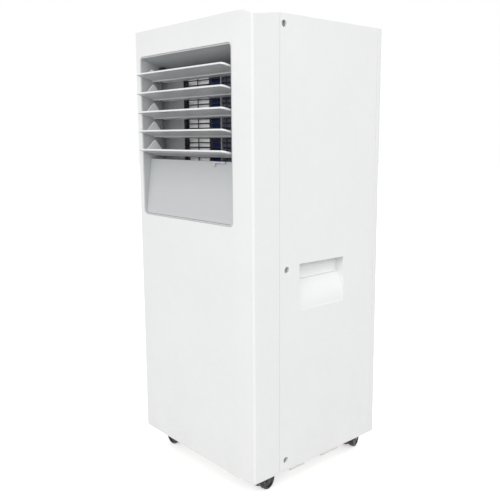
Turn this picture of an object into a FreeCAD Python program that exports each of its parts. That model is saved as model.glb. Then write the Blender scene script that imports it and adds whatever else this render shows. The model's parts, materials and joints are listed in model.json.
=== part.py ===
import FreeCAD, Part
import math
import os

# Portable air conditioner, millimetres. Origin on the floor under the middle of the machine.
# +Z up, the louvred front faces -Y, +X is to the right of somebody who looks at the back.

V = FreeCAD.Vector
AXIS_X = V(1, 0, 0)
AXIS_Y = V(0, 1, 0)
AXIS_Z = V(0, 0, 1)

# ---- driving dimensions ----
WIDTH = 270.0
DEPTH = 264.0
HEIGHT = 660.0
SKIRT_Z = 30.0            # bottom edge of the casing
WALL = 2.5                # moulded casing wall
GAP = 0.3                 # room between neighbouring mouldings
HALF = WIDTH / 2
FRONT = -DEPTH / 2
BACK = DEPTH / 2
INNER = HALF - WALL
CORNER_SAG = 1 - math.sqrt(0.5)   # share of a corner's radius that its middle is cut back on each axis
FRONT_SEAM = FRONT + 51   # front shell meets the side panels
REAR_SEAM = FRONT + 250   # side panels meet the rear panel

# front shell: flat face, then a band that falls back to the right-hand corner
BAND_X = 101.0
CORNER_SETBACK = 4.6
CORNER_DROP = 8.0         # the rim falls towards the right front corner
CORNER_DROP_WIDTH = 26.0
OPENING_X = (-121.0, 99.0)
OPENING_Z = (384.0, 623.0)
OPENING_RADIUS = 7.0

# louvres
BLADE_COUNT = 5
BLADE_PITCH = 28.0
BLADE_TOP_Z = 589.3       # pivot of the top blade
BLADE_X = (-115.5, 94.5)
BLADE_TILT = 12.0         # degrees, front edge high
BLADE_FRONT_ARM = 34.6
BLADE_REAR_ARM = 12.0
BLADE_THICK = 2.4
PIVOT_Y = FRONT + 22
PIN_R = 2.5
RUNNING = 0.06            # radial running clearance
EAR_X = (-113.0, -110.6)
EAR_TALL = 20.0
EAR_TALL_TOP = 14.0       # the top blade has a lower ear, under the ceiling
LINK_UP = 1.8             # link pin above and behind the pivot, blade level
LINK_BACK = 8.0
LINK_PIN_R = 1.5

# outlet
BEZEL_BACK = FRONT + 46
PANEL_TOP_Z = 470.0
PANEL_Y = FRONT + 14      # front of the infill panel at its top edge
PANEL_FOOT_Y = FRONT + 2.6
PANEL_THICK = 2.4
CATCH_X = (44.0, 70.0)
LINK_STOP_Z = 600.5       # block on the ceiling that limits the link's travel
LINER = 2.6               # wall of the liner
DUCT_FLOOR_Z = 465.0
DUCT_X = (-72.0, 96.5)
DUCT_CEILING_Z = 603.0
MOUTH_RADIUS = 6.0
POST_X = (20.0, 22.6)
GUARD_PITCH = 7.0
GUARD_BARS = 19

# heat exchangers: x, y and z ranges and rows of tubes
TUBE_R = 3.5
EVAPORATOR = ((-15.0, 115.0), (FRONT + 50.5, FRONT + 76.5), (462.0, 610.0), 7)
CONDENSER = ((-108.0, 104.0), (FRONT + 214, FRONT + 240), (62.0, 286.0), 9)

# fan shaft
ROTOR = (-69.0, FRONT + 126)
SCROLL_R = 61.5
SHROUD_THICK = 1.6
SHROUD_RIB = 1.0          # how far its ribs stand forward
SHROUD_RIBS = 10
WHEEL_FAN_R = 52.0

# rear face
GRILLE_X = 105.0
DOOR_Z = (452.0, 632.0)
HINGE_Y = BACK - 2.6
HINGE_Z = DOOR_Z[0] + 3
HINGE_PIN_R = 1.2
LOWER_GRILLE_Z = (64.0, 282.0)
COLLAR = (-5.0, 366.0)
COLLAR_R = 62.5
COLLAR_OUT = 12.1         # how far the collar stands out of the back
INLET = (92.0, 340.0)
DRAIN = (90.0, 52.0)

# hand recesses in both sides
GRIP_Y = (FRONT + 89, FRONT + 181)
GRIP_Z = (261.6, 327.7)
GRIP_DEEP = 17.0
GRIP_SHELF = (11.0, 303.5)    # depth and height of the edge where the ramp ends
GRIP_BULGE = (3.6, 284.0)     # depth and height half way up the ramp
GRIP_LIP = 6.0
GRIP_UNDERCUT = 7.0

# top
TOP_Z = 651.0
PANEL_HALF = 70.0
BUTTON_X = (-52.0, -27.0, -2.0)
BUTTON_Y = FRONT + 76
BUTTON_R = 7.8
BUTTON_NAMES = ("power", "mode", "fan_speed")
ROCKER_X = 38.0
ROCKER_HALF = 16.0
ROCKER_GAP = 0.8
ROCKER_PIVOT_Z = TOP_Z - 6

# casters: name, stem position, heading of the axle in degrees
CASTER_X = 107.0
CASTER_FRONT_Y = FRONT + 35
CASTER_REAR_Y = FRONT + 229
CASTERS = (
    ("front_right", CASTER_X, CASTER_FRONT_Y, 10.0),
    ("front_left", -CASTER_X, CASTER_FRONT_Y, 270.0),
    ("rear_right", CASTER_X, CASTER_REAR_Y, 20.0),
    ("rear_left", -CASTER_X, CASTER_REAR_Y, 140.0),
)
WHEEL_R = 14.0
WHEEL_WIDE = 9.0
WEB = 4.6
TRAIL = 11.0
STEM_R = 4.5
TRAY_Z = 36.0
SCREW_SIDE = ((FRONT + 59, 646.7), (FRONT + 64.5, 322.6), (FRONT + 63, 46.3))
SCREW_REAR = ((-122.0, 645.0), (122.0, 645.0), (-122.0, 300.0), (122.0, 300.0), (-122.0, 80.0), (122.0, 80.0))
SCREW_HEAD_R = 3.9
SCREW_HEAD_TALL = 2.4
SCREW_SHANK_R = 1.5
SIDE_WELL = 5.0           # depth of the screw wells in the sides
REAR_WELL = 3.5

# compressor, its gas bottle and the pipe that rises to the upper coil
COMPRESSOR = (-30.0, FRONT + 98)
COMPRESSOR_R = 54.0
BOTTLE_X = COMPRESSOR[0] + 82
RISER = (126.5, FRONT + 77)


# ---- helpers ----
def box(x, y, z):
    """Box between the two values of each pair."""
    return Part.makeBox(x[1] - x[0], y[1] - y[0], z[1] - z[0], V(x[0], y[0], z[0]))


def rod(x, y, z, radius, length, axis=AXIS_Z):
    return Part.makeCylinder(radius, length, V(x, y, z), axis)


def prism(points, direction):
    """Extrude a closed polygon of vectors along a vector."""
    return Part.Face(Part.makePolygon(points + [points[0]])).extrude(direction)


def plan_prism(points, z):
    """Extrude an (x, y) outline between two heights."""
    return prism([V(x, y, z[0]) for x, y in points], V(0, 0, z[1] - z[0]))


def side_prism(points, x):
    """Extrude a (y, z) outline between two x values."""
    return prism([V(x[0], y, z) for y, z in points], V(x[1] - x[0], 0, 0))


def rounded_box(x, y, z, radius, axis):
    """Box whose edges along one axis are rounded."""
    body = box(x, y, z)
    edges = [e for e in body.Edges if abs(e.tangentAt(e.FirstParameter).dot(axis)) > 0.99]
    return body.makeFillet(radius, edges)


def fuse(shapes):
    joined = shapes[0].multiFuse(shapes[1:]) if len(shapes) > 1 else shapes[0]
    return joined.removeSplitter()


def cut(body, tools):
    return body.cut(Part.makeCompound(tools)).removeSplitter()


def pipe(points, radius, bend):
    """Round tube along straight runs that are joined by arcs."""
    edges = []
    last = points[0]
    for before, corner, after in zip(points, points[1:], points[2:]):
        into = (corner - before).normalize()
        out = (after - corner).normalize()
        turn = into.getAngle(out)
        back = bend * math.tan(turn / 2)
        start = corner - into * back
        end = corner + out * back
        middle = corner + (out - into).normalize() * (bend / math.cos(turn / 2) - bend)
        edges.append(Part.LineSegment(last, start).toShape())
        edges.append(Part.Arc(start, middle, end).toShape())
        last = end
    edges.append(Part.LineSegment(last, points[-1]).toShape())
    path = Part.Wire(edges)
    heading = (points[1] - points[0]).normalize()
    profile = Part.Wire(Part.makeCircle(radius, points[0], heading))
    return path.makePipeShell([profile], True, False)


def save(name, shape):
    shape.exportStep("parts/" + name + ".step")


# ---- casing ----
def front_outline(inset, back_y):
    """Plan outline of the front shell, moved inwards by inset, as a closed wire at the skirt."""
    left = -HALF + inset
    right = HALF - inset
    face = FRONT + inset
    corner_r = 6.0 - min(inset, 4.0)
    nose_y = FRONT + CORNER_SETBACK + inset
    bulge = V((BAND_X + right) / 2, face + CORNER_SETBACK * 0.36, SKIRT_Z)
    p = [V(left, back_y, SKIRT_Z), V(left, face + corner_r, SKIRT_Z),
         V(left + corner_r, face, SKIRT_Z), V(BAND_X, face, SKIRT_Z),
         V(right - 3.2, nose_y - 0.75, SKIRT_Z), V(right, nose_y + 2.4, SKIRT_Z), V(right, back_y, SKIRT_Z)]
    turn = V(right - 1.07, nose_y + 0.3, SKIRT_Z)
    knee = V(left + corner_r * CORNER_SAG, face + corner_r * CORNER_SAG, SKIRT_Z)
    return Part.Wire([
        Part.LineSegment(p[0], p[1]).toShape(),
        Part.Arc(p[1], knee, p[2]).toShape(),
        Part.LineSegment(p[2], p[3]).toShape(),
        Part.Arc(p[3], bulge, p[4]).toShape(),
        Part.Arc(p[4], turn, p[5]).toShape(),
        Part.LineSegment(p[5], p[6]).toShape(),
        Part.LineSegment(p[6], p[0]).toShape(),
    ])


def corner_drop():
    """Wedge taken off the rim: deepest at the front corner, nothing at the seam."""
    def section(y, drop):
        start = V(HALF - CORNER_DROP_WIDTH, y, HEIGHT)
        middle = V(HALF - CORNER_DROP_WIDTH * 0.32, y, HEIGHT - drop * 0.34)
        end = V(HALF + 1, y, HEIGHT - drop)
        over = V(HALF + 1, y, HEIGHT + 3)
        above = V(start.x, y, HEIGHT + 3)
        return Part.Wire([Part.Arc(start, middle, end).toShape(),
                          Part.LineSegment(end, over).toShape(),
                          Part.LineSegment(over, above).toShape(),
                          Part.LineSegment(above, start).toShape()])
    return Part.makeLoft([section(FRONT - 1, CORNER_DROP), section(FRONT_SEAM, 0.05)], True, True)


def front_shell():
    tall = V(0, 0, HEIGHT - SKIRT_Z)
    outer = Part.Face(front_outline(0, FRONT_SEAM)).extrude(tall)
    inner = Part.Face(front_outline(WALL, FRONT_SEAM + 1)).extrude(tall)
    opening = rounded_box(OPENING_X, (FRONT - 1, FRONT + 8), OPENING_Z, OPENING_RADIUS, AXIS_Y)
    return cut(outer, [inner, opening, corner_drop()])


def grip_profile(side, inset):
    """Hand recess: bulging ramp up to a shelf, deep top, undercut behind a lip."""
    face = side * (HALF + 1)
    deep = side * (HALF - GRIP_DEEP - inset)
    lip = side * (HALF - GRIP_LIP + inset)
    low = GRIP_Z[0] - inset
    top = GRIP_Z[1] + GRIP_UNDERCUT + inset
    shelf = GRIP_SHELF[1] - inset
    y = GRIP_Y[0] - inset
    a = V(face, y, low)
    b = V(side * (HALF - 0.5 - inset), y, low)
    c = V(side * (HALF - GRIP_SHELF[0] - inset), y, shelf)
    knee = V(side * (HALF - GRIP_BULGE[0] - inset), y, GRIP_BULGE[1] - inset)
    back = V(deep, y, shelf)
    d = V(deep, y, top)
    e = V(lip, y, top)
    f = V(lip, y, GRIP_Z[1] + inset)
    g = V(face, y, GRIP_Z[1] + inset)
    straight = ((a, b), (c, back), (back, d), (d, e), (e, f), (f, g), (g, a))
    edges = [Part.LineSegment(start, end).toShape() for start, end in straight]
    edges.insert(1, Part.Arc(b, knee, c).toShape())
    return Part.Face(Part.Wire(edges)).extrude(V(0, GRIP_Y[1] - GRIP_Y[0] + 2 * inset, 0))


def side_panel(side):
    """Flat side wall with hand recess, screw bosses and a fold at each upright edge."""
    x = sorted((side * INNER, side * HALF))
    fold = sorted((side * (INNER - 8), side * INNER))
    y = (FRONT_SEAM + GAP, REAR_SEAM - GAP)
    z = (SKIRT_Z, HEIGHT)
    fold_z = (TRAY_Z + 38, TOP_Z - 18)
    plate = box(x, y, z)
    front_fold = box(fold, (y[0], y[0] + 2), fold_z)
    rear_fold = box(fold, (y[1] - 2, y[1]), fold_z)
    pocket = grip_profile(side, 2.2).common(box(sorted((0, side * HALF)), (FRONT, BACK), z))
    bosses = [rod(side * INNER, yy, zz, 6.5, 9.6, V(-side, 0, 0)) for yy, zz in SCREW_SIDE]
    inward = V(-side, 0, 0)
    wells = [rod(side * (HALF + 1), yy, zz, SCREW_HEAD_R + 0.5, SIDE_WELL + 1, inward)
             for yy, zz in SCREW_SIDE]
    holes = [rod(side * HALF, yy, zz, SCREW_SHANK_R + 0.1, 12, inward) for yy, zz in SCREW_SIDE]
    body = fuse([plate, front_fold, rear_fold, pocket] + bosses)
    return cut(body, [grip_profile(side, 0)] + wells + holes)


def rear_outline(inset, front_y):
    corner_r = 9.0 - inset
    x = HALF - inset
    y = BACK - inset
    sweep = corner_r * CORNER_SAG
    z = SKIRT_Z
    return Part.Wire([
        Part.LineSegment(V(-x, front_y, z), V(-x, y - corner_r, z)).toShape(),
        Part.Arc(V(-x, y - corner_r, z), V(-x + sweep, y - sweep, z), V(-x + corner_r, y, z)).toShape(),
        Part.LineSegment(V(-x + corner_r, y, z), V(x - corner_r, y, z)).toShape(),
        Part.Arc(V(x - corner_r, y, z), V(x - sweep, y - sweep, z), V(x, y - corner_r, z)).toShape(),
        Part.LineSegment(V(x, y - corner_r, z), V(x, front_y, z)).toShape(),
        Part.LineSegment(V(x, front_y, z), V(-x, front_y, z)).toShape(),
    ])


def rear_panel():
    tall = V(0, 0, HEIGHT - SKIRT_Z)
    outer = Part.Face(rear_outline(0, REAR_SEAM)).extrude(tall)
    inner = Part.Face(rear_outline(WALL, REAR_SEAM - 1)).extrude(tall)
    across = (BACK - 6, BACK + 1)
    door_hole = rounded_box((-GRILLE_X, GRILLE_X), across, DOOR_Z, 2.5, AXIS_Y)
    low_hole = rounded_box((-GRILLE_X, GRILLE_X), across, LOWER_GRILLE_Z, 5, AXIS_Y)
    collar_hole = rod(COLLAR[0], BACK - 6, COLLAR[1], COLLAR_R + 0.2, 8, AXIS_Y)
    inlet_hole = rod(INLET[0], BACK - 6, INLET[1], 8.2, 8, AXIS_Y)
    drain_hole = rod(DRAIN[0], BACK - 6, DRAIN[1], 8.2, 8, AXIS_Y)
    bosses = [rod(x, BACK - WALL, z, 6, 6, V(0, -1, 0)) for x, z in SCREW_REAR]
    wells = [rod(x, BACK + 1, z, SCREW_HEAD_R + 0.5, REAR_WELL + 1, V(0, -1, 0)) for x, z in SCREW_REAR]
    holes = [rod(x, BACK, z, SCREW_SHANK_R + 0.1, 12, V(0, -1, 0)) for x, z in SCREW_REAR]
    lugs = [box(x, (HINGE_Y - 3, BACK - WALL), (HINGE_Z - 4, HINGE_Z + 4))
            for x in ((-GRILLE_X - 5, -GRILLE_X - 0.1), (GRILLE_X + 0.1, GRILLE_X + 5))]
    holes.append(rod(-GRILLE_X - 4, HINGE_Y, HINGE_Z, HINGE_PIN_R + RUNNING, 2 * GRILLE_X + 8, AXIS_X))
    body = cut(outer, [inner])
    body = fuse([body] + bosses + lugs)
    return cut(body, [door_hole, low_hole, collar_hole, inlet_hole, drain_hole] + wells + holes)


def top_cover():
    y = (FRONT + 8, BACK - WALL - GAP)
    x = (-INNER + GAP, INNER - GAP)
    plate = rounded_box(x, y, (TOP_Z - 3, TOP_Z), 7, AXIS_Z)
    skirt_out = rounded_box(x, y, (TOP_Z - 14, TOP_Z - 3), 7, AXIS_Z)
    skirt_in = box((x[0] + 3, x[1] - 3), (y[0] + 3, y[1] - 3), (TOP_Z - 15, TOP_Z - 3))
    pocket = rounded_box((-PANEL_HALF - GAP, PANEL_HALF + GAP), (FRONT + 32 - GAP, FRONT + 92 + GAP),
                         (TOP_Z - 5, TOP_Z + 1), 6, AXIS_Z)
    notches = []
    for side in (-1, 1):
        for yy, zz in SCREW_SIDE[:1]:
            notches.append(rod(side * (HALF + 1), yy, zz, 7.2, 17, V(-side, 0, 0)))
    for xx, zz in SCREW_REAR[:2]:
        notches.append(rod(xx, BACK + 1, zz, 6.6, 16, V(0, -1, 0)))
    return cut(fuse([plate, skirt_out.cut(skirt_in)]), [pocket] + notches)


def control_panel():
    plate = rounded_box((-PANEL_HALF, PANEL_HALF), (FRONT + 32, FRONT + 92), (TOP_Z - 3, TOP_Z + 1.6),
                        6, AXIS_Z)
    holes = [rod(x, BUTTON_Y, TOP_Z - 5, BUTTON_R + 0.35, 10) for x in BUTTON_X]
    window = rounded_box((-26, 26), (FRONT + 40, FRONT + 62), (TOP_Z - 5, TOP_Z + 3), 3, AXIS_Z)
    slot = rounded_box((ROCKER_X - ROCKER_HALF - ROCKER_GAP, ROCKER_X + ROCKER_HALF + ROCKER_GAP),
                       (BUTTON_Y - BUTTON_R - GAP, BUTTON_Y + BUTTON_R + GAP), (TOP_Z - 5, TOP_Z + 3),
                       4, AXIS_Z)
    return cut(plate, holes + [window, slot])


def display_window():
    return rounded_box((-25.9, 25.9), (FRONT + 40.1, FRONT + 61.9), (TOP_Z - 2, TOP_Z + 1.2), 3, AXIS_Z)


def button(x):
    cap = rod(x, BUTTON_Y, TOP_Z - 4.6, BUTTON_R, 7.6)
    cap = cap.makeFillet(0.8, [e for e in cap.Edges if e.BoundBox.ZMin > TOP_Z + 2.5])
    collar = rod(x, BUTTON_Y, TOP_Z - 5, BUTTON_R + 1.4, 1.6)
    stem = rod(x, BUTTON_Y, TOP_Z - 10, 2, 6)
    return fuse([cap, collar, stem])


def temperature_rocker():
    """Long key that tips to either side about a pin under its middle."""
    x = (ROCKER_X - ROCKER_HALF, ROCKER_X + ROCKER_HALF)
    y = (BUTTON_Y - BUTTON_R, BUTTON_Y + BUTTON_R)
    cap = rounded_box(x, y, (TOP_Z - 2, TOP_Z + 3), 3.8, AXIS_Z)
    cap = cap.makeFillet(0.8, [e for e in cap.Edges if e.BoundBox.ZMin > TOP_Z + 2.5])
    stem = box((ROCKER_X - 2, ROCKER_X + 2), (BUTTON_Y - 4, BUTTON_Y + 4), (ROCKER_PIVOT_Z - 2, TOP_Z - 2))
    pin = rod(ROCKER_X, BUTTON_Y - 8, ROCKER_PIVOT_Z, 1.2, 16, AXIS_Y)
    return fuse([cap, stem, pin])


def control_board():
    """Board under the panel, with a dome under each button and two forks for the rocker's pin."""
    board_top = TOP_Z - 13
    board = box((-64, 64), (FRONT + 34, FRONT + 90), (board_top - 1.6, board_top))
    domes = [rod(x, BUTTON_Y, board_top, 3, 1.4) for x in BUTTON_X]
    tube = box((-24, 24), (FRONT + 41, FRONT + 61), (board_top, TOP_Z - 4))
    forks = [box((ROCKER_X - 3, ROCKER_X + 3), (BUTTON_Y + y, BUTTON_Y + y + 2), (board_top, TOP_Z - 4))
             for y in (-7, 5)]
    bore = rod(ROCKER_X, BUTTON_Y - 9, ROCKER_PIVOT_Z, 1.2 + RUNNING, 18, AXIS_Y)
    return fuse([board, tube] + domes + forks).cut(bore)


# ---- base ----
def base_tray():
    x = (-INNER + GAP, INNER - GAP)
    y = (FRONT + 10, BACK - WALL - GAP)
    floor = rounded_box(x, y, (TRAY_Z, TRAY_Z + 4), 7, AXIS_Z)
    rim = rounded_box(x, y, (SKIRT_Z + 1, TRAY_Z + 24), 7, AXIS_Z)
    hollow = rounded_box((x[0] + 3, x[1] - 3), (y[0] + 3, y[1] - 3), (SKIRT_Z, TRAY_Z + 25), 4, AXIS_Z)
    bosses = [rod(cx, cy, TRAY_Z, 10, 16) for _, cx, cy, _ in CASTERS]
    tabs = []
    for side in (-1, 1):
        for start, end in ((75.5, 104.5), (141, 177)):
            tabs.append(box(sorted((side * (x[1] - 8), side * x[1])), (FRONT + start, FRONT + end),
                            (SKIRT_Z - 5, TRAY_Z)))
    feet = [rod(cx, cy, TRAY_Z + 4, 6, 3) for cx, cy in compressor_feet()]
    holes = [rod(cx, cy, TRAY_Z - 1, STEM_R + RUNNING, 14) for _, cx, cy, _ in CASTERS]
    holes.append(rod(DRAIN[0], BACK - 12, DRAIN[1], 8.2, 20, AXIS_Y))
    for side in (-1, 1):
        for yy, zz in SCREW_SIDE[2:]:
            holes.append(rod(side * (HALF + 1), yy, zz, 7.2, 17, V(-side, 0, 0)))
    return cut(fuse([rim.cut(hollow), floor] + bosses + tabs + feet), holes)


def caster(cx, cy, heading):
    """Fork with stem, and the pair of wheels on their axle; both turned to the heading."""
    axle_y = cy + TRAIL
    stem = rod(cx, cy, TRAY_Z - 2.5, STEM_R, 15)
    web = rod(cx - WEB / 2, axle_y, WHEEL_R, 12.5, WEB, AXIS_X)
    neck = box((cx - WEB / 2, cx + WEB / 2), (cy - 6, cy + 12), (WHEEL_R + 2, TRAY_Z - 2.5))
    cap = rod(cx, cy, TRAY_Z - 3.5, 10, 3)
    hood = rod(cx - WEB / 2 - WHEEL_WIDE, axle_y, WHEEL_R, 17.5, WEB + 2 * WHEEL_WIDE, AXIS_X)
    hood = hood.cut(rod(cx - 30, axle_y, WHEEL_R, 15.4, 60, AXIS_X))
    hood = hood.common(box((cx - 30, cx + 30), (axle_y - 20, axle_y + 8), (WHEEL_R + 9, TRAY_Z - 3.5)))
    bore = rod(cx - 30, axle_y, WHEEL_R, 2 + RUNNING, 60, AXIS_X)
    fork = fuse([stem, web, neck, cap, hood]).cut(bore)
    discs = [rod(cx - WEB / 2 - 0.4 - WHEEL_WIDE, axle_y, WHEEL_R, WHEEL_R, WHEEL_WIDE, AXIS_X),
             rod(cx + WEB / 2 + 0.4, axle_y, WHEEL_R, WHEEL_R, WHEEL_WIDE, AXIS_X)]
    discs = [d.makeFillet(1.6, [e for e in d.Edges if e.Length > 80]) for d in discs]
    axle = rod(cx - WEB / 2 - WHEEL_WIDE, axle_y, WHEEL_R, 2, WEB + 2 * WHEEL_WIDE, AXIS_X)
    wheels = fuse(discs + [axle])
    for shape in (fork, wheels):
        shape.rotate(V(cx, cy, 0), AXIS_Z, heading)
    return fork, wheels


# ---- outlet ----
def outlet_bezel():
    """Grey liner of the louvred opening: lip, sloping ceiling, left wall that narrows the duct."""
    lip = rounded_box((OPENING_X[0] + GAP, OPENING_X[1] - GAP), (FRONT + 0.6, FRONT + 4),
                      (OPENING_Z[0] + GAP, OPENING_Z[1] - GAP), OPENING_RADIUS - GAP, AXIS_Y)
    block = box((OPENING_X[0] - 4, OPENING_X[1] + 3), (FRONT + WALL + 0.2, BEZEL_BACK),
                (OPENING_Z[0] - 3, OPENING_Z[1] + 2))
    left = OPENING_X[0] + 2.3
    right = OPENING_X[1] - 2.3
    ahead = FRONT - 1
    behind = BEZEL_BACK + 1
    plan = plan_prism([(left, ahead), (right, ahead), (right, FRONT + 40), (DUCT_X[1], behind),
                       (DUCT_X[0], behind), (DUCT_X[0], BEZEL_BACK - 1), (left, FRONT + 41.5)],
                      (OPENING_Z[0], OPENING_Z[1]))
    low = OPENING_Z[0] + 2.3
    profile = side_prism([(ahead, low), (PANEL_FOOT_Y + LINER, low), (PANEL_Y + LINER, DUCT_FLOOR_Z),
                          (behind, DUCT_FLOOR_Z),
                          (behind, DUCT_CEILING_Z), (FRONT + 15, DUCT_CEILING_Z + 13),
                          (ahead, OPENING_Z[1] - 1.6)],
                         (OPENING_X[0], OPENING_X[1]))
    mouth = rounded_box((left, right), (ahead, behind), (low, OPENING_Z[1] - 1.6), MOUTH_RADIUS, AXIS_Y)
    pins = []
    for index in range(BLADE_COUNT):
        z = BLADE_TOP_Z - index * BLADE_PITCH
        pins.append(rod(left - 3.5, PIVOT_Y, z, PIN_R + RUNNING, 4.5, AXIS_X))
        pins.append(rod(right - 1, PIVOT_Y, z, PIN_R + RUNNING, 4.5, AXIS_X))
    floor_relief = side_prism([(PANEL_FOOT_Y + 2 * LINER, OPENING_Z[0] - 4),
                               (PANEL_Y + 2 * LINER, DUCT_FLOOR_Z - 3),
                               (behind, DUCT_FLOOR_Z - 3), (behind, OPENING_Z[0] - 4)], (-HALF, HALF))
    body = cut(fuse([lip, block]), [plan.common(profile).common(mouth), floor_relief])
    post = box(POST_X, (BEZEL_BACK - 2.6, BEZEL_BACK), (DUCT_FLOOR_Z - 1, DUCT_CEILING_Z + 1))
    stop = box((EAR_X[1] + 0.7, EAR_X[1] + 6), (PIVOT_Y + 5, PIVOT_Y + 17), (LINK_STOP_Z, LINK_STOP_Z + 8))
    return fuse([cut(body, pins), post, stop.common(block)])


def infill_panel():
    """Plain panel under the louvres: it leans back and has a small catch on its top edge."""
    left = OPENING_X[0] + 2.6
    right = OPENING_X[1] - 2.6
    foot = OPENING_Z[0] + LINER
    top = PANEL_TOP_Z - GAP
    plate = side_prism([(PANEL_FOOT_Y, foot), (PANEL_FOOT_Y + PANEL_THICK, foot),
                        (PANEL_Y + PANEL_THICK, top), (PANEL_Y, top)], (left, right))
    low_corners = [e for e in plate.Edges if e.BoundBox.YLength > 1 and e.BoundBox.ZMax < foot + 1]
    plate = plate.makeFillet(MOUTH_RADIUS, low_corners)
    catch = box(CATCH_X, (PANEL_Y - 4, PANEL_Y + 1), (top - 2.5, top))
    hook = box((CATCH_X[0], CATCH_X[0] + 4), (PANEL_Y - 4, PANEL_Y), (top - 6.5, top))
    return fuse([plate, catch, hook])


def louvre(index):
    """Blade with rounded front corners, a triangular ear for the link, and two end pins."""
    z = BLADE_TOP_Z - index * BLADE_PITCH
    x = BLADE_X
    front = PIVOT_Y - BLADE_FRONT_ARM
    rear = PIVOT_Y + BLADE_REAR_ARM
    half = BLADE_THICK / 2
    plate = box(x, (front, rear), (z - half, z + half))
    corners = [e for e in plate.Edges if e.BoundBox.ZLength > 1 and e.BoundBox.YMin < front + 1]
    plate = plate.makeFillet(5, corners)
    tall = EAR_TALL if index else EAR_TALL_TOP
    ear = side_prism([(PIVOT_Y - 22, z), (PIVOT_Y - 10, z + tall), (PIVOT_Y - 8, z + tall),
                      (PIVOT_Y + LINK_BACK + 3, z + LINK_UP + 3), (PIVOT_Y + LINK_BACK + 3, z + LINK_UP - 3),
                      (PIVOT_Y + 8, z - half)], EAR_X)
    link_pin = rod(EAR_X[1], PIVOT_Y + LINK_BACK, z + LINK_UP, LINK_PIN_R, 3.6, AXIS_X)
    notch = box((EAR_X[1], EAR_X[1] + 3.8), (PIVOT_Y + 2, rear + 1), (z - half - 1, z + half + 0.1))
    spine = rod(x[0] + 0.5, PIVOT_Y, z, PIN_R, x[1] - x[0] - 1, AXIS_X)
    ends = rod(OPENING_X[0] - 0.8, PIVOT_Y, z, PIN_R, OPENING_X[1] - OPENING_X[0] + 1.6, AXIS_X)
    blade = fuse([plate.cut(notch), ear, link_pin, spine, ends])
    blade.rotate(V(0, PIVOT_Y, z), AXIS_X, -BLADE_TILT)
    return blade


def ear_pin(index):
    """Where the link pin of one blade lies with the blade at rest, as (y, z)."""
    turn = math.radians(-BLADE_TILT)
    y = LINK_BACK * math.cos(turn) - LINK_UP * math.sin(turn)
    z = LINK_BACK * math.sin(turn) + LINK_UP * math.cos(turn)
    return PIVOT_Y + y, BLADE_TOP_Z - index * BLADE_PITCH + z


def louvre_link():
    """Upright bar that joins the five ears."""
    pins = [ear_pin(index) for index in range(BLADE_COUNT)]
    x = (EAR_X[1] + 0.6, EAR_X[1] + 2.8)
    bar = rounded_box(x, (pins[0][0] - 2.6, pins[0][0] + 2.6), (pins[-1][1] - 3, pins[0][1] + 3), 2.2, AXIS_X)
    return cut(bar, [rod(x[0] - 1, y, z, LINK_PIN_R + RUNNING, 5, AXIS_X) for y, z in pins])


def louvre_motor():
    """Small stepper behind the left wall of the liner, on the axis of the middle blade."""
    z = BLADE_TOP_Z - 2 * BLADE_PITCH
    left = OPENING_X[0] - 4
    can = rod(left - 7, PIVOT_Y, z, 12, 7, AXIS_X)
    ears = box((left - 1.4, left), (PIVOT_Y - 3, PIVOT_Y + 3), (z - 18, z + 18))
    return fuse([can, ears])


def outlet_guard():
    """Finger guard behind the blades."""
    y = (BEZEL_BACK + 0.2, BEZEL_BACK + 3.2)
    x = (DUCT_X[0] - 3.8, DUCT_X[1] + 4)
    z = (DUCT_FLOOR_Z - 2.8, DUCT_CEILING_Z + 5)
    frame = box(x, y, z).cut(box((DUCT_X[0] + 0.8, DUCT_X[1]), (y[0] - 1, y[1] + 1),
                                 (DUCT_FLOOR_Z, DUCT_CEILING_Z)))
    bars = []
    for count in range(GUARD_BARS):
        zz = PANEL_TOP_Z + 4 + count * GUARD_PITCH
        bars.append(box((x[0] + 1, x[1] - 1), (y[0], y[0] + 2), (zz - 0.9, zz + 0.9)))
    for count in range(1, 5):
        xx = DUCT_X[0] + 1.5 + count * 33.4
        bars.append(box((xx - 1, xx + 1), (y[0], y[0] + 2.4), (z[0] + 1, z[1] - 1)))
    return fuse([frame] + bars)


# ---- heat exchangers ----
def exchanger(x, y, z, rows):
    """Fin block, two end plates and the tube circuit of one coil."""
    middle = (y[0] + y[1]) / 2
    spread = (y[1] - y[0]) / 4
    pitch = (z[1] - z[0]) / rows
    heights = [z[0] + pitch * (row + 0.5) for row in range(rows)]
    lines = [(middle + side * spread, height) for height in heights for side in (-1, 1)]
    bores = [rod(x[0] - 5, yy, zz, TUBE_R + 0.05, x[1] - x[0] + 10, AXIS_X) for yy, zz in lines]
    fins = cut(box((x[0] + 1.5, x[1] - 1.5), y, z), bores)
    plates = [cut(box((edge, edge + 1.2), (y[0] - 1, y[1] + 1), (z[0] - 2, z[1] + 2)), bores)
              for edge in (x[0], x[1] - 1.2)]
    tubes = [rod(x[0] - 3, yy, zz, TUBE_R, x[1] - x[0] + 6, AXIS_X) for yy, zz in lines]
    for height in heights:
        ring = Part.makeTorus(spread, TUBE_R, V(x[1] + 3, middle, height), AXIS_Z)
        tubes.append(ring.common(box((x[1] + 3, x[1] + 20), y, (height - 5, height + 5))))
    for row, height in enumerate(heights[:-1]):
        line = middle + (spread if row % 2 == 0 else -spread)
        ring = Part.makeTorus(pitch / 2, TUBE_R, V(x[0] - 3, line, height + pitch / 2), AXIS_Y)
        tubes.append(ring.common(box((x[0] - 25, x[0] - 3), (line - 5, line + 5), z)))
    return fins, plates, fuse(tubes)


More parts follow.
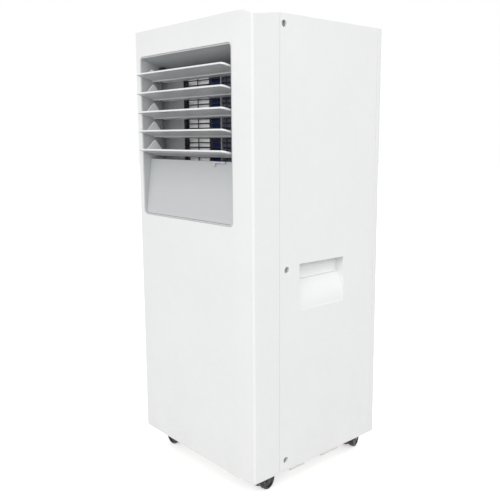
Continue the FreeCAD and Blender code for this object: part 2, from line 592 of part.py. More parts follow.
# ---- fans ----
def squirrel_cage(radius, z, blades, hub_z):
    """Forward-curved wheel: end rings, blades and a hub disc."""
    cx, cy = ROTOR
    ring_z = (z[0], z[1] - 3)
    parts = []
    for zz in ring_z:
        parts.append(rod(cx, cy, zz, radius, 3).cut(rod(cx, cy, zz - 1, radius - 12, 5)))
    disc = rod(cx, cy, hub_z, radius - 1, 3)
    hub = rod(cx, cy, hub_z - 8, 11, 19)
    for count in range(blades):
        blade = box((cx + radius - 12, cx + radius - 1.5), (cy - 0.7, cy + 0.7), (z[0] + 1, z[1] - 1))
        blade.rotate(V(cx + radius - 6, cy, 0), AXIS_Z, 28)
        blade.rotate(V(cx, cy, 0), AXIS_Z, 360.0 * count / blades)
        parts.append(blade)
    return fuse(parts + [disc, hub]).cut(rod(cx, cy, z[0] - 30, 4, z[1] - z[0] + 60))


def scroll(z, mouth, open_x, open_y, eye_r):
    """Fan housing: round drum, an eye at both ends, and a mouth that is open at its far x or far y."""
    cx, cy = ROTOR
    tall = z[1] - z[0]
    outer = fuse([rod(cx, cy, z[0], SCROLL_R, tall), box(mouth[0], mouth[1], z)])
    hollow_z = (z[0] + 2, z[1] - 2)
    hollow = box((mouth[0][0] + 2, mouth[0][1] - 2 + open_x), (mouth[1][0] + 2, mouth[1][1] - 2 + open_y),
                 hollow_z)
    drum = rod(cx, cy, hollow_z[0], SCROLL_R - 2, tall - 4)
    return cut(outer, [drum, hollow, rod(cx, cy, z[0] - 1, eye_r, tall + 2)])


def shroud():
    """Ribbed wall between the fan's drum and the upper coil, just behind the finger guard."""
    z = (459, 605)
    start = V(-70, FRONT + 57, z[0])
    middle = V(-46, FRONT + 51.9, z[0])
    end = V(-17, FRONT + 51.2, z[0])
    thick = V(0, SHROUD_THICK, 0)

    def strip(proud):
        forward = V(0, -proud, 0)
        return Part.Face(Part.Wire([Part.Arc(start + forward, middle + forward, end + forward).toShape(),
                                    Part.LineSegment(end + forward, end + thick).toShape(),
                                    Part.Arc(end + thick, middle + thick, start + thick).toShape(),
                                    Part.LineSegment(start + thick, start + forward).toShape()]))
    parts = [strip(0).extrude(V(0, 0, z[1] - z[0]))]
    for count in range(SHROUD_RIBS):
        rib = strip(SHROUD_RIB).extrude(V(0, 0, 2.4))
        rib.translate(V(0, 0, 5 + count * BLADE_PITCH / 2))
        parts.append(rib)
    parts.append(box((-73, -67), (FRONT + 56, FRONT + 65.6), z))
    return parts


def room_scroll():
    drum = scroll((456, 606), ((ROTOR[0], 24), (FRONT + 86, FRONT + 138)), 10, 0, 38)
    return fuse([drum] + shroud())


def exhaust_scroll():
    return scroll((338, 400), ((ROTOR[0] + 24, ROTOR[0] + 66), (ROTOR[1], FRONT + 200)), 0, 10, 42)


def exhaust_duct():
    """Box that widens from the scroll's mouth to the round collar."""
    x = (COLLAR[0] - 65, COLLAR[0] + 65)
    y = (FRONT + 200.3, BACK - 12)
    z = (COLLAR[1] - 65, COLLAR[1] + 65)
    outer = box(x, y, z)
    inner = box((x[0] + 2, x[1] - 2), (y[0] + 2, y[1] + 1), (z[0] + 2, z[1] - 2))
    mouth = box((ROTOR[0] + 26, ROTOR[0] + 64), (y[0] - 1, y[0] + 3), (340, 398))
    return cut(outer, [inner, mouth])


def exhaust_collar():
    cx, cz = COLLAR
    tube = rod(cx, BACK - 11.7, cz, COLLAR_R, 11.7 + COLLAR_OUT, AXIS_Y)
    flange = rod(cx, BACK - WALL - 3.3, cz, COLLAR_R + 4.5, 3, AXIS_Y)
    lugs = []
    for count in range(3):
        lug = box((cx - 7, cx + 7), (BACK + 6.5, BACK + 9), (cz + COLLAR_R - 0.5, cz + COLLAR_R + 2.2))
        lug.rotate(V(cx, 0, cz), AXIS_Y, 30 + 120 * count)
        lugs.append(lug)
    bore = rod(cx, BACK - 20, cz, COLLAR_R - 3, 60, AXIS_Y)
    return fuse([cut(fuse([tube, flange]), [bore])] + lugs)


# ---- rear ----
def grille(x, y, z, slat_pitch, slat_thick, border):
    """Frame with level slats that lean outwards and two uprights."""
    frame = rounded_box(x, y, z, 4.5, AXIS_Y)
    window = box((x[0] + border, x[1] - border), (y[0] - 1, y[1] + 1), (z[0] + border, z[1] - border))
    parts = [frame.cut(window)]
    count = int((z[1] - z[0] - 2 * border) / slat_pitch)
    step = (z[1] - z[0] - 2 * border) / (count + 1)
    for index in range(count):
        zz = z[0] + border + step * (index + 1)
        slat = side_prism([(y[0] + 0.3, zz), (y[0] + 0.3, zz + slat_thick),
                           (y[1] - 0.3, zz + slat_thick - 2), (y[1] - 0.3, zz - 2)],
                          (x[0] + border - 1, x[1] - border + 1))
        parts.append(slat)
    third = (x[1] - x[0]) / 3
    for index in (1, 2):
        xx = x[0] + third * index
        parts.append(box((xx - 1.2, xx + 1.2), (y[0] + 0.3, y[0] + 2), (z[0] + 1, z[1] - 1)))
    return fuse(parts)


def lower_grille():
    return grille((-GRILLE_X + GAP, GRILLE_X - GAP), (BACK - 3.6, BACK - 0.4),
                  (LOWER_GRILLE_Z[0] + GAP, LOWER_GRILLE_Z[1] - GAP), 9.0, 2.2, 7.0)


def filter_door():
    """Hinged intake grille with a thumb notch at the top and a pin at each lower corner."""
    x = GRILLE_X - 0.6
    body = grille((-x, x), (BACK - 3.6, BACK - 0.4), (DOOR_Z[0] + 1.2, DOOR_Z[1] - 0.6), 9.0, 2.2, 8.0)
    pins = [rod(start, HINGE_Y, HINGE_Z, HINGE_PIN_R, 6, AXIS_X) for start in (-x - 4, x - 2)]
    thumb = rod(0, BACK - 5, DOOR_Z[1] - 0.6, 11, 6, AXIS_Y)
    return fuse([body] + pins).cut(thumb)


def air_filter():
    """Mesh in a frame of six windows, clipped behind the door."""
    x = (-GRILLE_X + 8, GRILLE_X - 8)
    y = (BACK - 7.5, BACK - 4)
    z = (DOOR_Z[0] + 10, DOOR_Z[1] - 10)
    wide = (x[1] - x[0] - 6 * 4) / 3
    tall = (z[1] - z[0] - 4 * 3) / 2
    windows = []
    for i in range(3):
        for j in range(2):
            x0 = x[0] + 6 + i * (wide + 6)
            z0 = z[0] + 4 + j * (tall + 4)
            windows.append(box((x0, x0 + wide), (y[0] - 1, y[1] + 1), (z0, z0 + tall)))
    mesh = box((x[0] + 3, x[1] - 3), (y[0] + 1, y[0] + 1.6), (z[0] + 2, z[1] - 2))
    return fuse([cut(box(x, y, z), windows), mesh])


def cord_inlet():
    """Gland where the mains lead would enter."""
    x, z = INLET
    nut = Part.Face(Part.makePolygon([V(x + 11 * math.cos(math.radians(60 * k)), BACK + 0.2,
                                        z + 11 * math.sin(math.radians(60 * k))) for k in range(7)]))
    nut = nut.extrude(V(0, 5, 0))
    barrel = rod(x, BACK - 10, z, 8, 14, AXIS_Y)
    dome = rod(x, BACK + 5, z, 7, 5, AXIS_Y)
    return cut(fuse([nut, barrel, dome]), [rod(x, BACK + 1, z, 3.6, 12, AXIS_Y)])


def drain_spigot():
    x, z = DRAIN
    tube = rod(x, BACK - 14, z, 8, 22, AXIS_Y)
    flange = rod(x, BACK + 0.2, z, 11, 2, AXIS_Y)
    return cut(fuse([tube, flange]), [rod(x, BACK - 15, z, 5.5, 24, AXIS_Y)])


def drain_cap():
    x, z = DRAIN
    plug = rod(x, BACK - 6, z, 5.44, 14, AXIS_Y)
    head = rod(x, BACK + 8.2, z, 9.5, 3.4, AXIS_Y)
    neck = rod(x, BACK + 7, z, 5.44, 2, AXIS_Y)
    return fuse([plug, neck, head])


# ---- cooling circuit and electrics ----
def compressor_feet():
    cx, cy = COMPRESSOR
    angles = [math.radians(a) for a in (90, 210, 330)]
    return [(cx + 68 * math.cos(a), cy + 68 * math.sin(a)) for a in angles]


def compressor():
    cx, cy = COMPRESSOR
    shell = rod(cx, cy, TRAY_Z + 16, COMPRESSOR_R, 214)
    shell = shell.makeFillet(16, [e for e in shell.Edges if e.Closed and e.BoundBox.ZMin > TRAY_Z + 100])
    plate = rod(cx, cy, TRAY_Z + 12, 60, 4.4)
    lobes = [rod(fx, fy, TRAY_Z + 12, 14, 4) for fx, fy in compressor_feet()]
    cap = rod(cx - 18, cy, TRAY_Z + 229, 15, 16)
    holes = [rod(fx, fy, TRAY_Z, 5.5, 30) for fx, fy in compressor_feet()]
    hollow = rod(cx, cy, TRAY_Z + 10, COMPRESSOR_R - 7, 206)
    return cut(fuse([shell, plate, cap] + lobes), holes + [hollow])


def grommets():
    feet = []
    for fx, fy in compressor_feet():
        feet.append(cut(fuse([rod(fx, fy, TRAY_Z + 7.1, 9, 4.8), rod(fx, fy, TRAY_Z + 11, 5.3, 6)]),
                        [rod(fx, fy, TRAY_Z, 2.5, 40)]))
    return Part.makeCompound(feet)


def accumulator():
    body = rod(BOTTLE_X, COMPRESSOR[1], TRAY_Z + 40, 23, 140)
    return body.makeFillet(10, [e for e in body.Edges if e.Closed])


def refrigerant_pipes():
    cx, cy = COMPRESSOR
    top = TRAY_Z + 232
    suction = pipe([V(BOTTLE_X, cy, TRAY_Z + 182), V(BOTTLE_X, cy, 325), V(BOTTLE_X, RISER[1], 325),
                    V(RISER[0], RISER[1], 325),
                    V(RISER[0], RISER[1], 456)], 4.5, 9)
    discharge = pipe([V(cx + 18, cy, top), V(cx + 18, cy, 296), V(cx + 18, FRONT + 200, 296),
                      V(122.5, FRONT + 200, 296), V(122.5, FRONT + 200, 250)], 3.5, 10)
    liquid = pipe([V(-118, FRONT + 208, 84), V(-118, FRONT + 178, 84), V(-118, FRONT + 178, 183)], 3, 9)
    capillary = [Part.makeTorus(15, 1.2, V(-112, FRONT + 150, 190 + turn * 3.2), AXIS_Z) for turn in range(6)]
    return Part.makeCompound([suction, discharge, liquid] + capillary)


def filter_drier():
    body = rod(-118, FRONT + 178, 184, 9, 60)
    return body.makeFillet(5, [e for e in body.Edges if e.Closed])


def deck():
    """Shelf between the room-air side and the hot side, with the baffle that closes the plenum."""
    plate = box((-INNER + 8.5, INNER - 8.5), (BEZEL_BACK + 4, BACK - 14), (440, 444))
    wall = box((24.3, 128), (FRONT + 138.3, FRONT + 140.5), (443, 614.5))
    lid = box((24.3, 128), (FRONT + 84.8, FRONT + 140.5), (612.3, 614.5))
    holes = [rod(ROTOR[0], ROTOR[1], 430, 12, 20), rod(RISER[0], RISER[1], 430, 6, 20)]
    return cut(fuse([plate, wall, lid]), holes)


def drip_tray():
    outer = box((-36, 120), (FRONT + 49.6, FRONT + 80), (444.3, 455.5))
    return outer.cut(box((-34, 118), (FRONT + 51.6, FRONT + 78), (446.3, 461)))


def fan_motor():
    can = rod(ROTOR[0], ROTOR[1], 404, 42, 34)
    can = can.makeFillet(4, [e for e in can.Edges if e.Closed])
    lugs = box((ROTOR[0] - 52, ROTOR[0] + 52), (ROTOR[1] - 8, ROTOR[1] + 8), (436, 439.7))
    return cut(fuse([can, lugs]), [rod(ROTOR[0], ROTOR[1], 400, 4.06, 60)])


def fan_shaft():
    return rod(ROTOR[0], ROTOR[1], 342, 4, 250)


def electronics_box():
    x = (59, 119)
    y = (FRONT + 52, FRONT + 118)
    z = (345, 434)
    outer = rounded_box(x, y, z, 4, AXIS_Z)
    return outer.cut(box((x[0] + 2, x[1] - 2), (y[0] + 2, y[1] - 2), (z[0] + 2, z[1] - 2)))


def power_board():
    """Board with relay, filter capacitor, terminal block and the fan's run capacitor."""
    board = box((63, 115), (FRONT + 56, FRONT + 114), (352, 353.6))
    relay = box((67, 83), (FRONT + 60, FRONT + 80), (353.6, 370))
    capacitor = rod(102, FRONT + 70, 353.6, 9, 22)
    terminals = box((67, 87), (FRONT + 92, FRONT + 106), (353.6, 364))
    run_capacitor = rod(101, FRONT + 98, 353.6, 11, 60)
    return fuse([board, relay, capacitor, terminals, run_capacitor])


def screws(places, direction, well):
    """Pan-head screws with a cross slot, seated on the floor of their wells."""
    group = []
    for place in places:
        start = place + direction * (well - SCREW_HEAD_TALL)
        head = Part.makeCylinder(SCREW_HEAD_R, SCREW_HEAD_TALL, start, direction)
        shank = Part.makeCylinder(SCREW_SHANK_R, 7, start + direction * SCREW_HEAD_TALL, direction)
        slots = []
        for turn in (0, 90):
            slot = Part.makeBox(4.4, 0.9, 2.4, V(-2.2, -0.45, -1.2))
            slot.rotate(V(0, 0, 0), AXIS_Z, turn)
            slot.Placement = FreeCAD.Placement(start, FreeCAD.Rotation(AXIS_Z, direction)) * slot.Placement
            slots.append(slot)
        group.append(cut(fuse([head, shank]), slots))
    return group


def casing_screws():
    group = []
    for side in (-1, 1):
        places = [V(side * HALF, y, z) for y, z in SCREW_SIDE]
        group += screws(places, V(-side, 0, 0), SIDE_WELL)
    group += screws([V(x, BACK, z) for x, z in SCREW_REAR], V(0, -1, 0), REAR_WELL)
    return Part.makeCompound(group)


def main():
    os.makedirs("parts", exist_ok=True)
    save("front_shell", front_shell())
    save("right_side_panel", side_panel(1))
    save("left_side_panel", side_panel(-1))
    save("rear_panel", rear_panel())
    save("top_cover", top_cover())
    save("control_panel", control_panel())
    save("display_window", display_window())
    save("control_board", control_board())
    for name, x in zip(BUTTON_NAMES, BUTTON_X):
        save("button_" + name, button(x))
    save("temperature_rocker", temperature_rocker())
    save("base_tray", base_tray())
    for name, cx, cy, heading in CASTERS:
        fork, wheels = caster(cx, cy, heading)
        save("caster_fork_" + name, fork)
        save("caster_wheels_" + name, wheels)
    save("outlet_bezel", outlet_bezel())
    save("infill_panel", infill_panel())
    for index in range(BLADE_COUNT):
        save("louvre_blade_" + str(index + 1), louvre(index))
    save("louvre_link", louvre_link())
    save("louvre_motor", louvre_motor())
    save("outlet_guard", outlet_guard())
    fins, plates, tubes = exchanger(*EVAPORATOR)
    save("evaporator_fins", fins)
    save("evaporator_tubes", tubes)
    fins, more_plates, tubes = exchanger(*CONDENSER)
    save("condenser_fins", fins)
    save("condenser_tubes", tubes)
    save("coil_end_plates", Part.makeCompound(plates + more_plates))
    save("room_fan_scroll", room_scroll())
    save("exhaust_fan_scroll", exhaust_scroll())
    save("exhaust_duct", exhaust_duct())
    save("exhaust_collar", exhaust_collar())
    save("room_fan_wheel", squirrel_cage(WHEEL_FAN_R, (464, 598), 32, 528))
    save("exhaust_fan_wheel", squirrel_cage(WHEEL_FAN_R, (344, 392), 32, 366))
    save("fan_shaft", fan_shaft())
    save("fan_motor", fan_motor())
    save("lower_intake_grille", lower_grille())
    save("filter_door", filter_door())
    save("air_filter", air_filter())
    save("cord_inlet", cord_inlet())
    save("drain_spigot", drain_spigot())
    save("drain_cap", drain_cap())
    save("compressor", compressor())
    save("compressor_grommets", grommets())
    save("accumulator", accumulator())
    save("refrigerant_pipes", refrigerant_pipes())
    save("filter_drier", filter_drier())
    save("deck", deck())
    save("drip_tray", drip_tray())
    save("electronics_box", electronics_box())
    save("power_board", power_board())
    save("casing_screws", casing_screws())


main()
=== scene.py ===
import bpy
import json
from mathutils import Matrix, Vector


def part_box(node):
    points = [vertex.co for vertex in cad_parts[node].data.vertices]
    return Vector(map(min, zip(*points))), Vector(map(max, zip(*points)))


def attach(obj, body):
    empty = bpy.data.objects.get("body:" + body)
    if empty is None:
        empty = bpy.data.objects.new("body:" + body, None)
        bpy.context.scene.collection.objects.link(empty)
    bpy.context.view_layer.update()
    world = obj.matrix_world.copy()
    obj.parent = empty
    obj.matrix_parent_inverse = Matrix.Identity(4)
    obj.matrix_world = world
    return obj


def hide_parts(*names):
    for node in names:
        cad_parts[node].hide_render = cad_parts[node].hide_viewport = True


bl_info = {
    "name": "Portable air conditioner",
    "version": (1, 0, 0),
    "blender": (4, 5, 0),
    "location": "View3D > Sidebar > Air conditioner",
    "description": "Dresses the packed frame of a portable air conditioner from its shell to its casters",
    "category": "Add Mesh",
}

import json
import math

import bmesh
import bpy
from bpy.props import FloatProperty, FloatVectorProperty, IntProperty, PointerProperty
from mathutils import Matrix, Vector

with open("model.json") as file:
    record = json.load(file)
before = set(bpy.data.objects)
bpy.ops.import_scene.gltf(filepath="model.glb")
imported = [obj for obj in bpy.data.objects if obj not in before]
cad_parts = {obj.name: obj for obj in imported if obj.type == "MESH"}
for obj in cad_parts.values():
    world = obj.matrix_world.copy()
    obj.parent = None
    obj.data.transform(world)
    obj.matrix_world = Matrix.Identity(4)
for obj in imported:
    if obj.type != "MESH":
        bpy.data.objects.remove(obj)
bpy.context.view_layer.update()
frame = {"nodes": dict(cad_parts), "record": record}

X_AXIS = Vector((1, 0, 0))
Y_AXIS = Vector((0, 1, 0))
Z_AXIS = Vector((0, 0, 1))
SLOT_OF = {part["node"]: part["material_slot"] for part in frame["record"]["subparts"]}
BODY_OF = {node: body for body, nodes in frame["record"]["behaviour"]["bodies"].items() for node in nodes}
BLADE_COUNT = 5
CASTER_NAMES = ("front_right", "front_left", "rear_right", "rear_left")
SHARP_ANGLE = math.radians(32)
FLAT_ANGLE = math.radians(0.4)    # facets that meet at less than this are one flat area
NARROW = 2.2                      # an edge stays sharp where its face is narrower than that many roundings
FOLDED_LIMIT = 0.0008             # share of its area by which a mesh may cover itself
SMALL_EDGE = 0.0004               # rounding of small mouldings and frames


# ---- sizes and colours that a user would change ----
def length(name, text, value):
    """Length property in metres."""
    return FloatProperty(name=name, description=text, default=value, min=0.0,
                         unit="LENGTH", subtype="DISTANCE")


def tint(name, text, value):
    """Colour property, linear red, green and blue."""
    return FloatVectorProperty(name=name, description=text, default=value, min=0, max=1,
                               size=3, subtype="COLOR")


def amount(name, text, value):
    """Whole number property, 1 or more."""
    return IntProperty(name=name, description=text, default=value, min=1)


class CasingSettings(bpy.types.PropertyGroup):
    edge: length("Edge radius", "Rounding of the casing's moulded edges", 0.00035)
    white: tint("Casing white", "Colour of the satin casing", (0.87, 0.875, 0.875))
    panel: tint("Panel white", "Colour of the control panel", (0.78, 0.79, 0.80))


class OutletSettings(bpy.types.PropertyGroup):
    liner: tint("Liner grey", "Colour of the outlet's liner and infill", (0.54, 0.555, 0.565))
    blade: tint("Blade grey", "Colour of the louvre blades", (0.80, 0.815, 0.82))
    bar_radius: length("Guard bar radius", "Radius of the finger guard's bars", 0.0009)
    bar_pitch: length("Guard bar pitch", "Distance between two level bars", 0.007)
    upright_pitch: length("Upright pitch", "Distance between two uprights of the guard", 0.0334)


class CoilSettings(bpy.types.PropertyGroup):
    fin_pitch: length("Fin pitch", "Distance between two fins", 0.0014)
    fin_thick: length("Fin thickness", "Thickness of one fin", 0.0003)
    fin_lean: length("Fin waviness", "How far a fin may stand out of its place", 0.0001)
    fin_seed: amount("Fin seed", "Start of the fins' random offsets", 7)
    blue: tint("Fin blue", "Water-shedding coating of the indoor coil", (0.008, 0.03, 0.15))
    # Painted shade: the slate colour is painted on the fins to the right of a given x, as a shaded face; it
    # is not a duller coating.
    slate: tint("Fin slate", "The same coating where it has turned dull", (0.22, 0.235, 0.33))
    shaded_from: length("Dull from", "The fins are dull to the right of this x", 0.013)


class FanSettings(bpy.types.PropertyGroup):
    blades: amount("Blades", "Blades of one fan wheel", 40)
    blade_depth: length("Blade depth", "Depth of a blade along the radius", 0.0105)


class RearSettings(bpy.types.PropertyGroup):
    slat_pitch: length("Slat pitch", "Distance between two slats of the rear grilles", 0.0088)
    wire_pitch: length("Filter wire pitch", "Distance between two threads of the filter", 0.0026)
    wire: length("Filter thread", "Width of one thread of the filter", 0.0007)


class CasterSettings(bpy.types.PropertyGroup):
    radius: length("Wheel radius", "Radius of a caster wheel", 0.014)
    width: length("Wheel width", "Width of one of the twin wheels", 0.009)
    web: length("Web", "Thickness of the fork's web between the wheels", 0.0046)


SETTINGS = {
    "ac_casing": CasingSettings,
    "ac_outlet": OutletSettings,
    "ac_coil": CoilSettings,
    "ac_fan": FanSettings,
    "ac_rear": RearSettings,
    "ac_caster": CasterSettings,
}


# ---- materials ----
class Signal:
    """Output of a material node, for arithmetic: each expression adds its Math nodes."""

    def __init__(self, paint, socket):
        self.paint = paint
        self.socket = socket

    def math(self, operation, first, second):
        return self.paint.node("ShaderNodeMath", {"operation": operation}, {0: first, 1: second})

    def __add__(self, other):
        return self.math("ADD", self, other)

    def __radd__(self, other):
        return self.math("ADD", other, self)

    def __sub__(self, other):
        return self.math("SUBTRACT", self, other)

    def __rsub__(self, other):
        return self.math("SUBTRACT", other, self)

    def __mul__(self, other):
        return self.math("MULTIPLY", self, other)

    def __rmul__(self, other):
        return self.math("MULTIPLY", other, self)


class Paint:
    """Node tree of one finish, on object coordinates in metres."""

    def __init__(self, name):
        self.material = bpy.data.materials.new(name)
        self.material.use_nodes = True
        self.tree = self.material.node_tree
        self.tree.nodes.clear()
        self.place = self.node("ShaderNodeTexCoord", {}, {}, "Object")

    def node(self, kind, settings, inputs, output=0):
        """One node: its settings first, then the values or links of its sockets."""
        made = self.tree.nodes.new(kind)
        for key, value in settings.items():
            if key == "stops":
                ramp = made.color_ramp
                ramp.elements[0].position, ramp.elements[0].color = value[0]
                ramp.elements[1].position, ramp.elements[1].color = value[-1]
                for position, colour in value[1:-1]:
                    ramp.elements.new(position).color = colour
            else:
                setattr(made, key, value)
        for key, value in inputs.items():
            if isinstance(value, Signal):
                self.tree.links.new(value.socket, made.inputs[key])
            else:
                made.inputs[key].default_value = value
        return Signal(self, made.outputs[output]) if made.outputs else None

    def clipped(self, value):
        return self.node("ShaderNodeClamp", {}, {"Value": value})

    def span(self, value, low, high):
        """0 below low, 1 above high."""
        return self.node("ShaderNodeMapRange", {}, {"Value": value, "From Min": low, "From Max": high})

    def stretched(self, factors):
        """Object coordinates with each axis squeezed by its factor, so patterns run along the small ones."""
        inputs = {"Vector": self.place, "Scale": factors}
        return self.node("ShaderNodeMapping", {"vector_type": "POINT"}, inputs)

    def noise(self, size, detail=2.0, place=None):
        """Cloudy noise with patches of about that size."""
        inputs = {"Vector": place or self.place, "Scale": 1 / size, "Detail": detail}
        return self.node("ShaderNodeTexNoise", {}, inputs, "Fac")

    def cells(self, size, randomness=1.0):
        """Distance from the middle of a cell of about that size."""
        inputs = {"Vector": self.place, "Scale": 1 / size, "Randomness": randomness}
        return self.node("ShaderNodeTexVoronoi", {"feature": "F1"}, inputs, "Distance")

    def blend(self, factor, first, second):
        """Colour between first, at factor 0, and second, at 1."""
        pair = [c if isinstance(c, Signal) else (*c, 1.0) for c in (first, second)]
        return self.node("ShaderNodeMix", {"data_type": "RGBA"}, {0: factor, 6: pair[0], 7: pair[1]}, 2)

    def bump(self, height, distance):
        """Normal that is lifted where height is 1 by that many metres."""
        inputs = {"Height": height, "Distance": distance, "Strength": 1.0}
        return self.node("ShaderNodeBump", {}, inputs, "Normal")

    def axis(self, name):
        """Place along the X, Y or Z axis in metres; Z is the height above the floor."""
        return self.node("ShaderNodeSeparateXYZ", {}, {0: self.place}, name)

    def upward(self):
        """1 on faces that look up, 0 on walls."""
        normal = self.node("ShaderNodeNewGeometry", {}, {}, "Normal")
        return self.clipped(self.node("ShaderNodeSeparateXYZ", {}, {0: normal}, "Z"))

    def edges(self, radius):
        """1 along sharp edges, 0 on flat areas."""
        soft = self.node("ShaderNodeBevel", {"samples": 4}, {"Radius": radius}, "Normal")
        flat = self.node("ShaderNodeNewGeometry", {}, {}, "Normal")
        facing = self.node("ShaderNodeVectorMath", {"operation": "DOT_PRODUCT"}, {0: soft, 1: flat}, "Value")
        return self.clipped((1 - facing) * 5)

    def scratches(self):
        """Sparse fine lines, mostly level."""
        long_way = self.stretched((0.06, 0.06, 1.6))
        lines = self.noise(0.0016, 3.0, long_way)
        return self.span(lines, 0.70, 0.78) * self.span(self.noise(0.05), 0.5, 0.62)

    def surface(self, colour, roughness, normal, **fixed):
        """Principled shader with its fixed values, joined to the output."""
        inputs = {"Base Color": colour, "Roughness": roughness, "Normal": normal}
        for key, value in fixed.items():
            inputs[key.replace("_", " ")] = value
        shader = self.node("ShaderNodeBsdfPrincipled", {}, inputs)
        self.node("ShaderNodeOutputMaterial", {}, {"Surface": shader})
        return self.material


def shade(colour, factor):
    return tuple(c * factor for c in colour)


def moulded(name, colour, rough, cell, depth, worn=(0.9, 0.9, 0.9), wear=0.15, dust=0.1, coat=0.0, shine=0.5,
            duct_shade=None):
    """Moulded plastic: cloudy colour, spark-eroded grain, fine scratches, polished edges and floor dust.

    The pair of y values given for painted shade: from the first to the second the colour darkens towards the
    back of a duct, as shade deeper in it.
    """
    paint = Paint(name)
    cloud = paint.noise(0.11, 4.0)
    flow = paint.noise(0.014, 3.0)
    grain = paint.noise(cell, 2.0)
    base = paint.blend(cloud * 0.7 + flow * 0.3, shade(colour, 0.955), shade(colour, 1.03))
    edge = paint.edges(0.0011) * paint.span(paint.noise(0.006, 3.0), 0.3, 0.7)
    base = paint.blend(edge * wear, base, worn)
    lines = paint.scratches()
    base = paint.blend(lines * 0.10, base, shade(colour, 0.7))
    # Painted shade: between the two y values the colour darkens with depth, standing in for the shade inside
    # the duct.
    if duct_shade:
        duct_shade_mask = paint.span(paint.axis("Y"), *duct_shade) * (0.75 + 0.25 * cloud)
        base = paint.blend(duct_shade_mask, base, shade(colour, 0.42))
    low = 1 - paint.span(paint.axis("Z"), 0.03, 0.13)
    settled = paint.clipped(paint.upward() * 0.7 + low * 0.6) * paint.span(paint.noise(0.03, 5.0), 0.35, 0.75)
    base = paint.blend(settled * dust, base, (0.42, 0.39, 0.34))
    texture = 0.08 * (cloud - 0.5) + 0.06 * (grain - 0.5)
    roughness = rough + texture + 0.14 * lines - 0.08 * edge + 0.2 * settled
    lift = grain + cloud * 1.5 + lines * -0.6
    return paint.surface(base, paint.clipped(roughness), paint.bump(lift, depth), Coat_Weight=coat,
                         Coat_Roughness=0.12, IOR=1.49, Specular_IOR_Level=shine)


def coated_fin(name, colour, metallic, tarnish, shaded=None, shaded_from=0.0):
    """Fin stock: rolled lines down the fin, blotches of old water, and painted shade in a second colour from
    one x on.
    """
    paint = Paint(name)
    streak = paint.noise(0.0012, 2.0, paint.stretched((1.0, 1.0, 0.05)))
    stain = paint.span(paint.noise(0.02, 5.0), 0.5, 0.72)
    base = paint.blend(streak, shade(colour, 0.72), shade(colour, 1.35))
    base = paint.blend(stain * 0.35, base, tarnish)
    # Painted shade: to the right of the given x the fins take the second colour, as shade.
    if shaded:
        base = paint.blend(paint.span(paint.axis("X"), shaded_from, shaded_from + 0.002), base, shaded)
    roughness = 0.26 + 0.16 * streak + 0.22 * stain
    return paint.surface(base, roughness, paint.bump(streak, 0.00004), Metallic=metallic, IOR=1.5)


def drawn_tube(name):
    """Copper with darker heat marks and drawing lines."""
    paint = Paint(name)
    heat = paint.span(paint.noise(0.018, 4.0), 0.42, 0.7)
    lines = paint.noise(0.0009, 2.0, paint.stretched((0.08, 1.0, 1.0)))
    base = paint.blend(heat * 0.8, (0.76, 0.36, 0.22), (0.30, 0.12, 0.07))
    base = paint.blend(lines * 0.3, base, (0.86, 0.52, 0.36))
    roughness = 0.22 + 0.3 * heat + 0.1 * lines
    return paint.surface(base, roughness, paint.bump(lines, 0.00003), Metallic=1.0)


def sheet_metal(name, colour, spangle, rough):
    """Zinc-coated or turned steel with crystals and handling marks."""
    paint = Paint(name)
    crystal = paint.cells(spangle, 1.0)
    smear = paint.noise(0.03, 4.0, paint.stretched((1.0, 1.0, 0.3)))
    edge = paint.edges(0.0008)
    base = paint.blend(crystal, shade(colour, 0.78), shade(colour, 1.15))
    base = paint.blend(paint.span(smear, 0.55, 0.8) * 0.4, base, shade(colour, 0.45))
    base = paint.blend(edge * 0.4, base, (0.85, 0.85, 0.86))
    roughness = rough + 0.18 * crystal + 0.2 * paint.span(smear, 0.5, 0.8) - 0.08 * edge
    lift = crystal * 0.4 + smear
    return paint.surface(base, paint.clipped(roughness), paint.bump(lift, 0.00006), Metallic=1.0)


def enamel(name, colour):
    """Sprayed paint on steel, with orange peel and chips at the edges."""
    paint = Paint(name)
    peel = paint.noise(0.0022, 3.0)
    dusty = paint.upward() * paint.span(paint.noise(0.02, 4.0), 0.3, 0.8)
    chips = paint.edges(0.0014) * paint.span(paint.noise(0.003, 3.0), 0.52, 0.6)
    base = paint.blend(paint.noise(0.06, 3.0), shade(colour, 0.8), shade(colour, 1.5))
    base = paint.blend(dusty * 0.3, base, (0.30, 0.28, 0.25))
    base = paint.blend(chips, base, (0.42, 0.41, 0.40))
    roughness = 0.2 + 0.15 * peel + 0.4 * dusty + 0.2 * chips
    return paint.surface(base, paint.clipped(roughness), paint.bump(peel - chips, 0.00008), Coat_Weight=0.3)


def solder_mask(name):
    """Circuit board: green mask with traces under it and bright pads."""
    paint = Paint(name)
    pattern = {"Vector": paint.place, "Scale": 130.0, "Mortar Size": 0.035, "Brick Width": 0.8}
    trace = paint.node("ShaderNodeTexBrick", {"offset": 0.37, "squash": 1.6}, pattern, "Fac")
    pads = 1 - paint.span(paint.cells(0.0045, 0.4), 0.12, 0.16)
    base = paint.blend(trace, (0.015, 0.12, 0.05), (0.05, 0.24, 0.11))
    base = paint.blend(pads, base, (0.72, 0.70, 0.66))
    roughness = 0.32 + 0.1 * paint.noise(0.01, 3.0) - 0.05 * pads
    return paint.surface(base, roughness, paint.bump(trace * 0.5 + pads, 0.00005), Metallic=pads * 0.8)


def smoked_lens(name):
    """Dark clear cover with faint wiping marks."""
    paint = Paint(name)
    wipe = paint.noise(0.004, 4.0, paint.stretched((0.3, 1.0, 1.0)))
    finger = paint.span(paint.noise(0.012, 3.0), 0.55, 0.7)
    base = paint.blend(wipe, (0.006, 0.006, 0.008), (0.014, 0.014, 0.017))
    roughness = 0.06 + 0.08 * wipe + 0.16 * finger
    return paint.surface(base, roughness, paint.bump(wipe, 0.00001), Coat_Weight=1.0, Coat_Roughness=0.04)


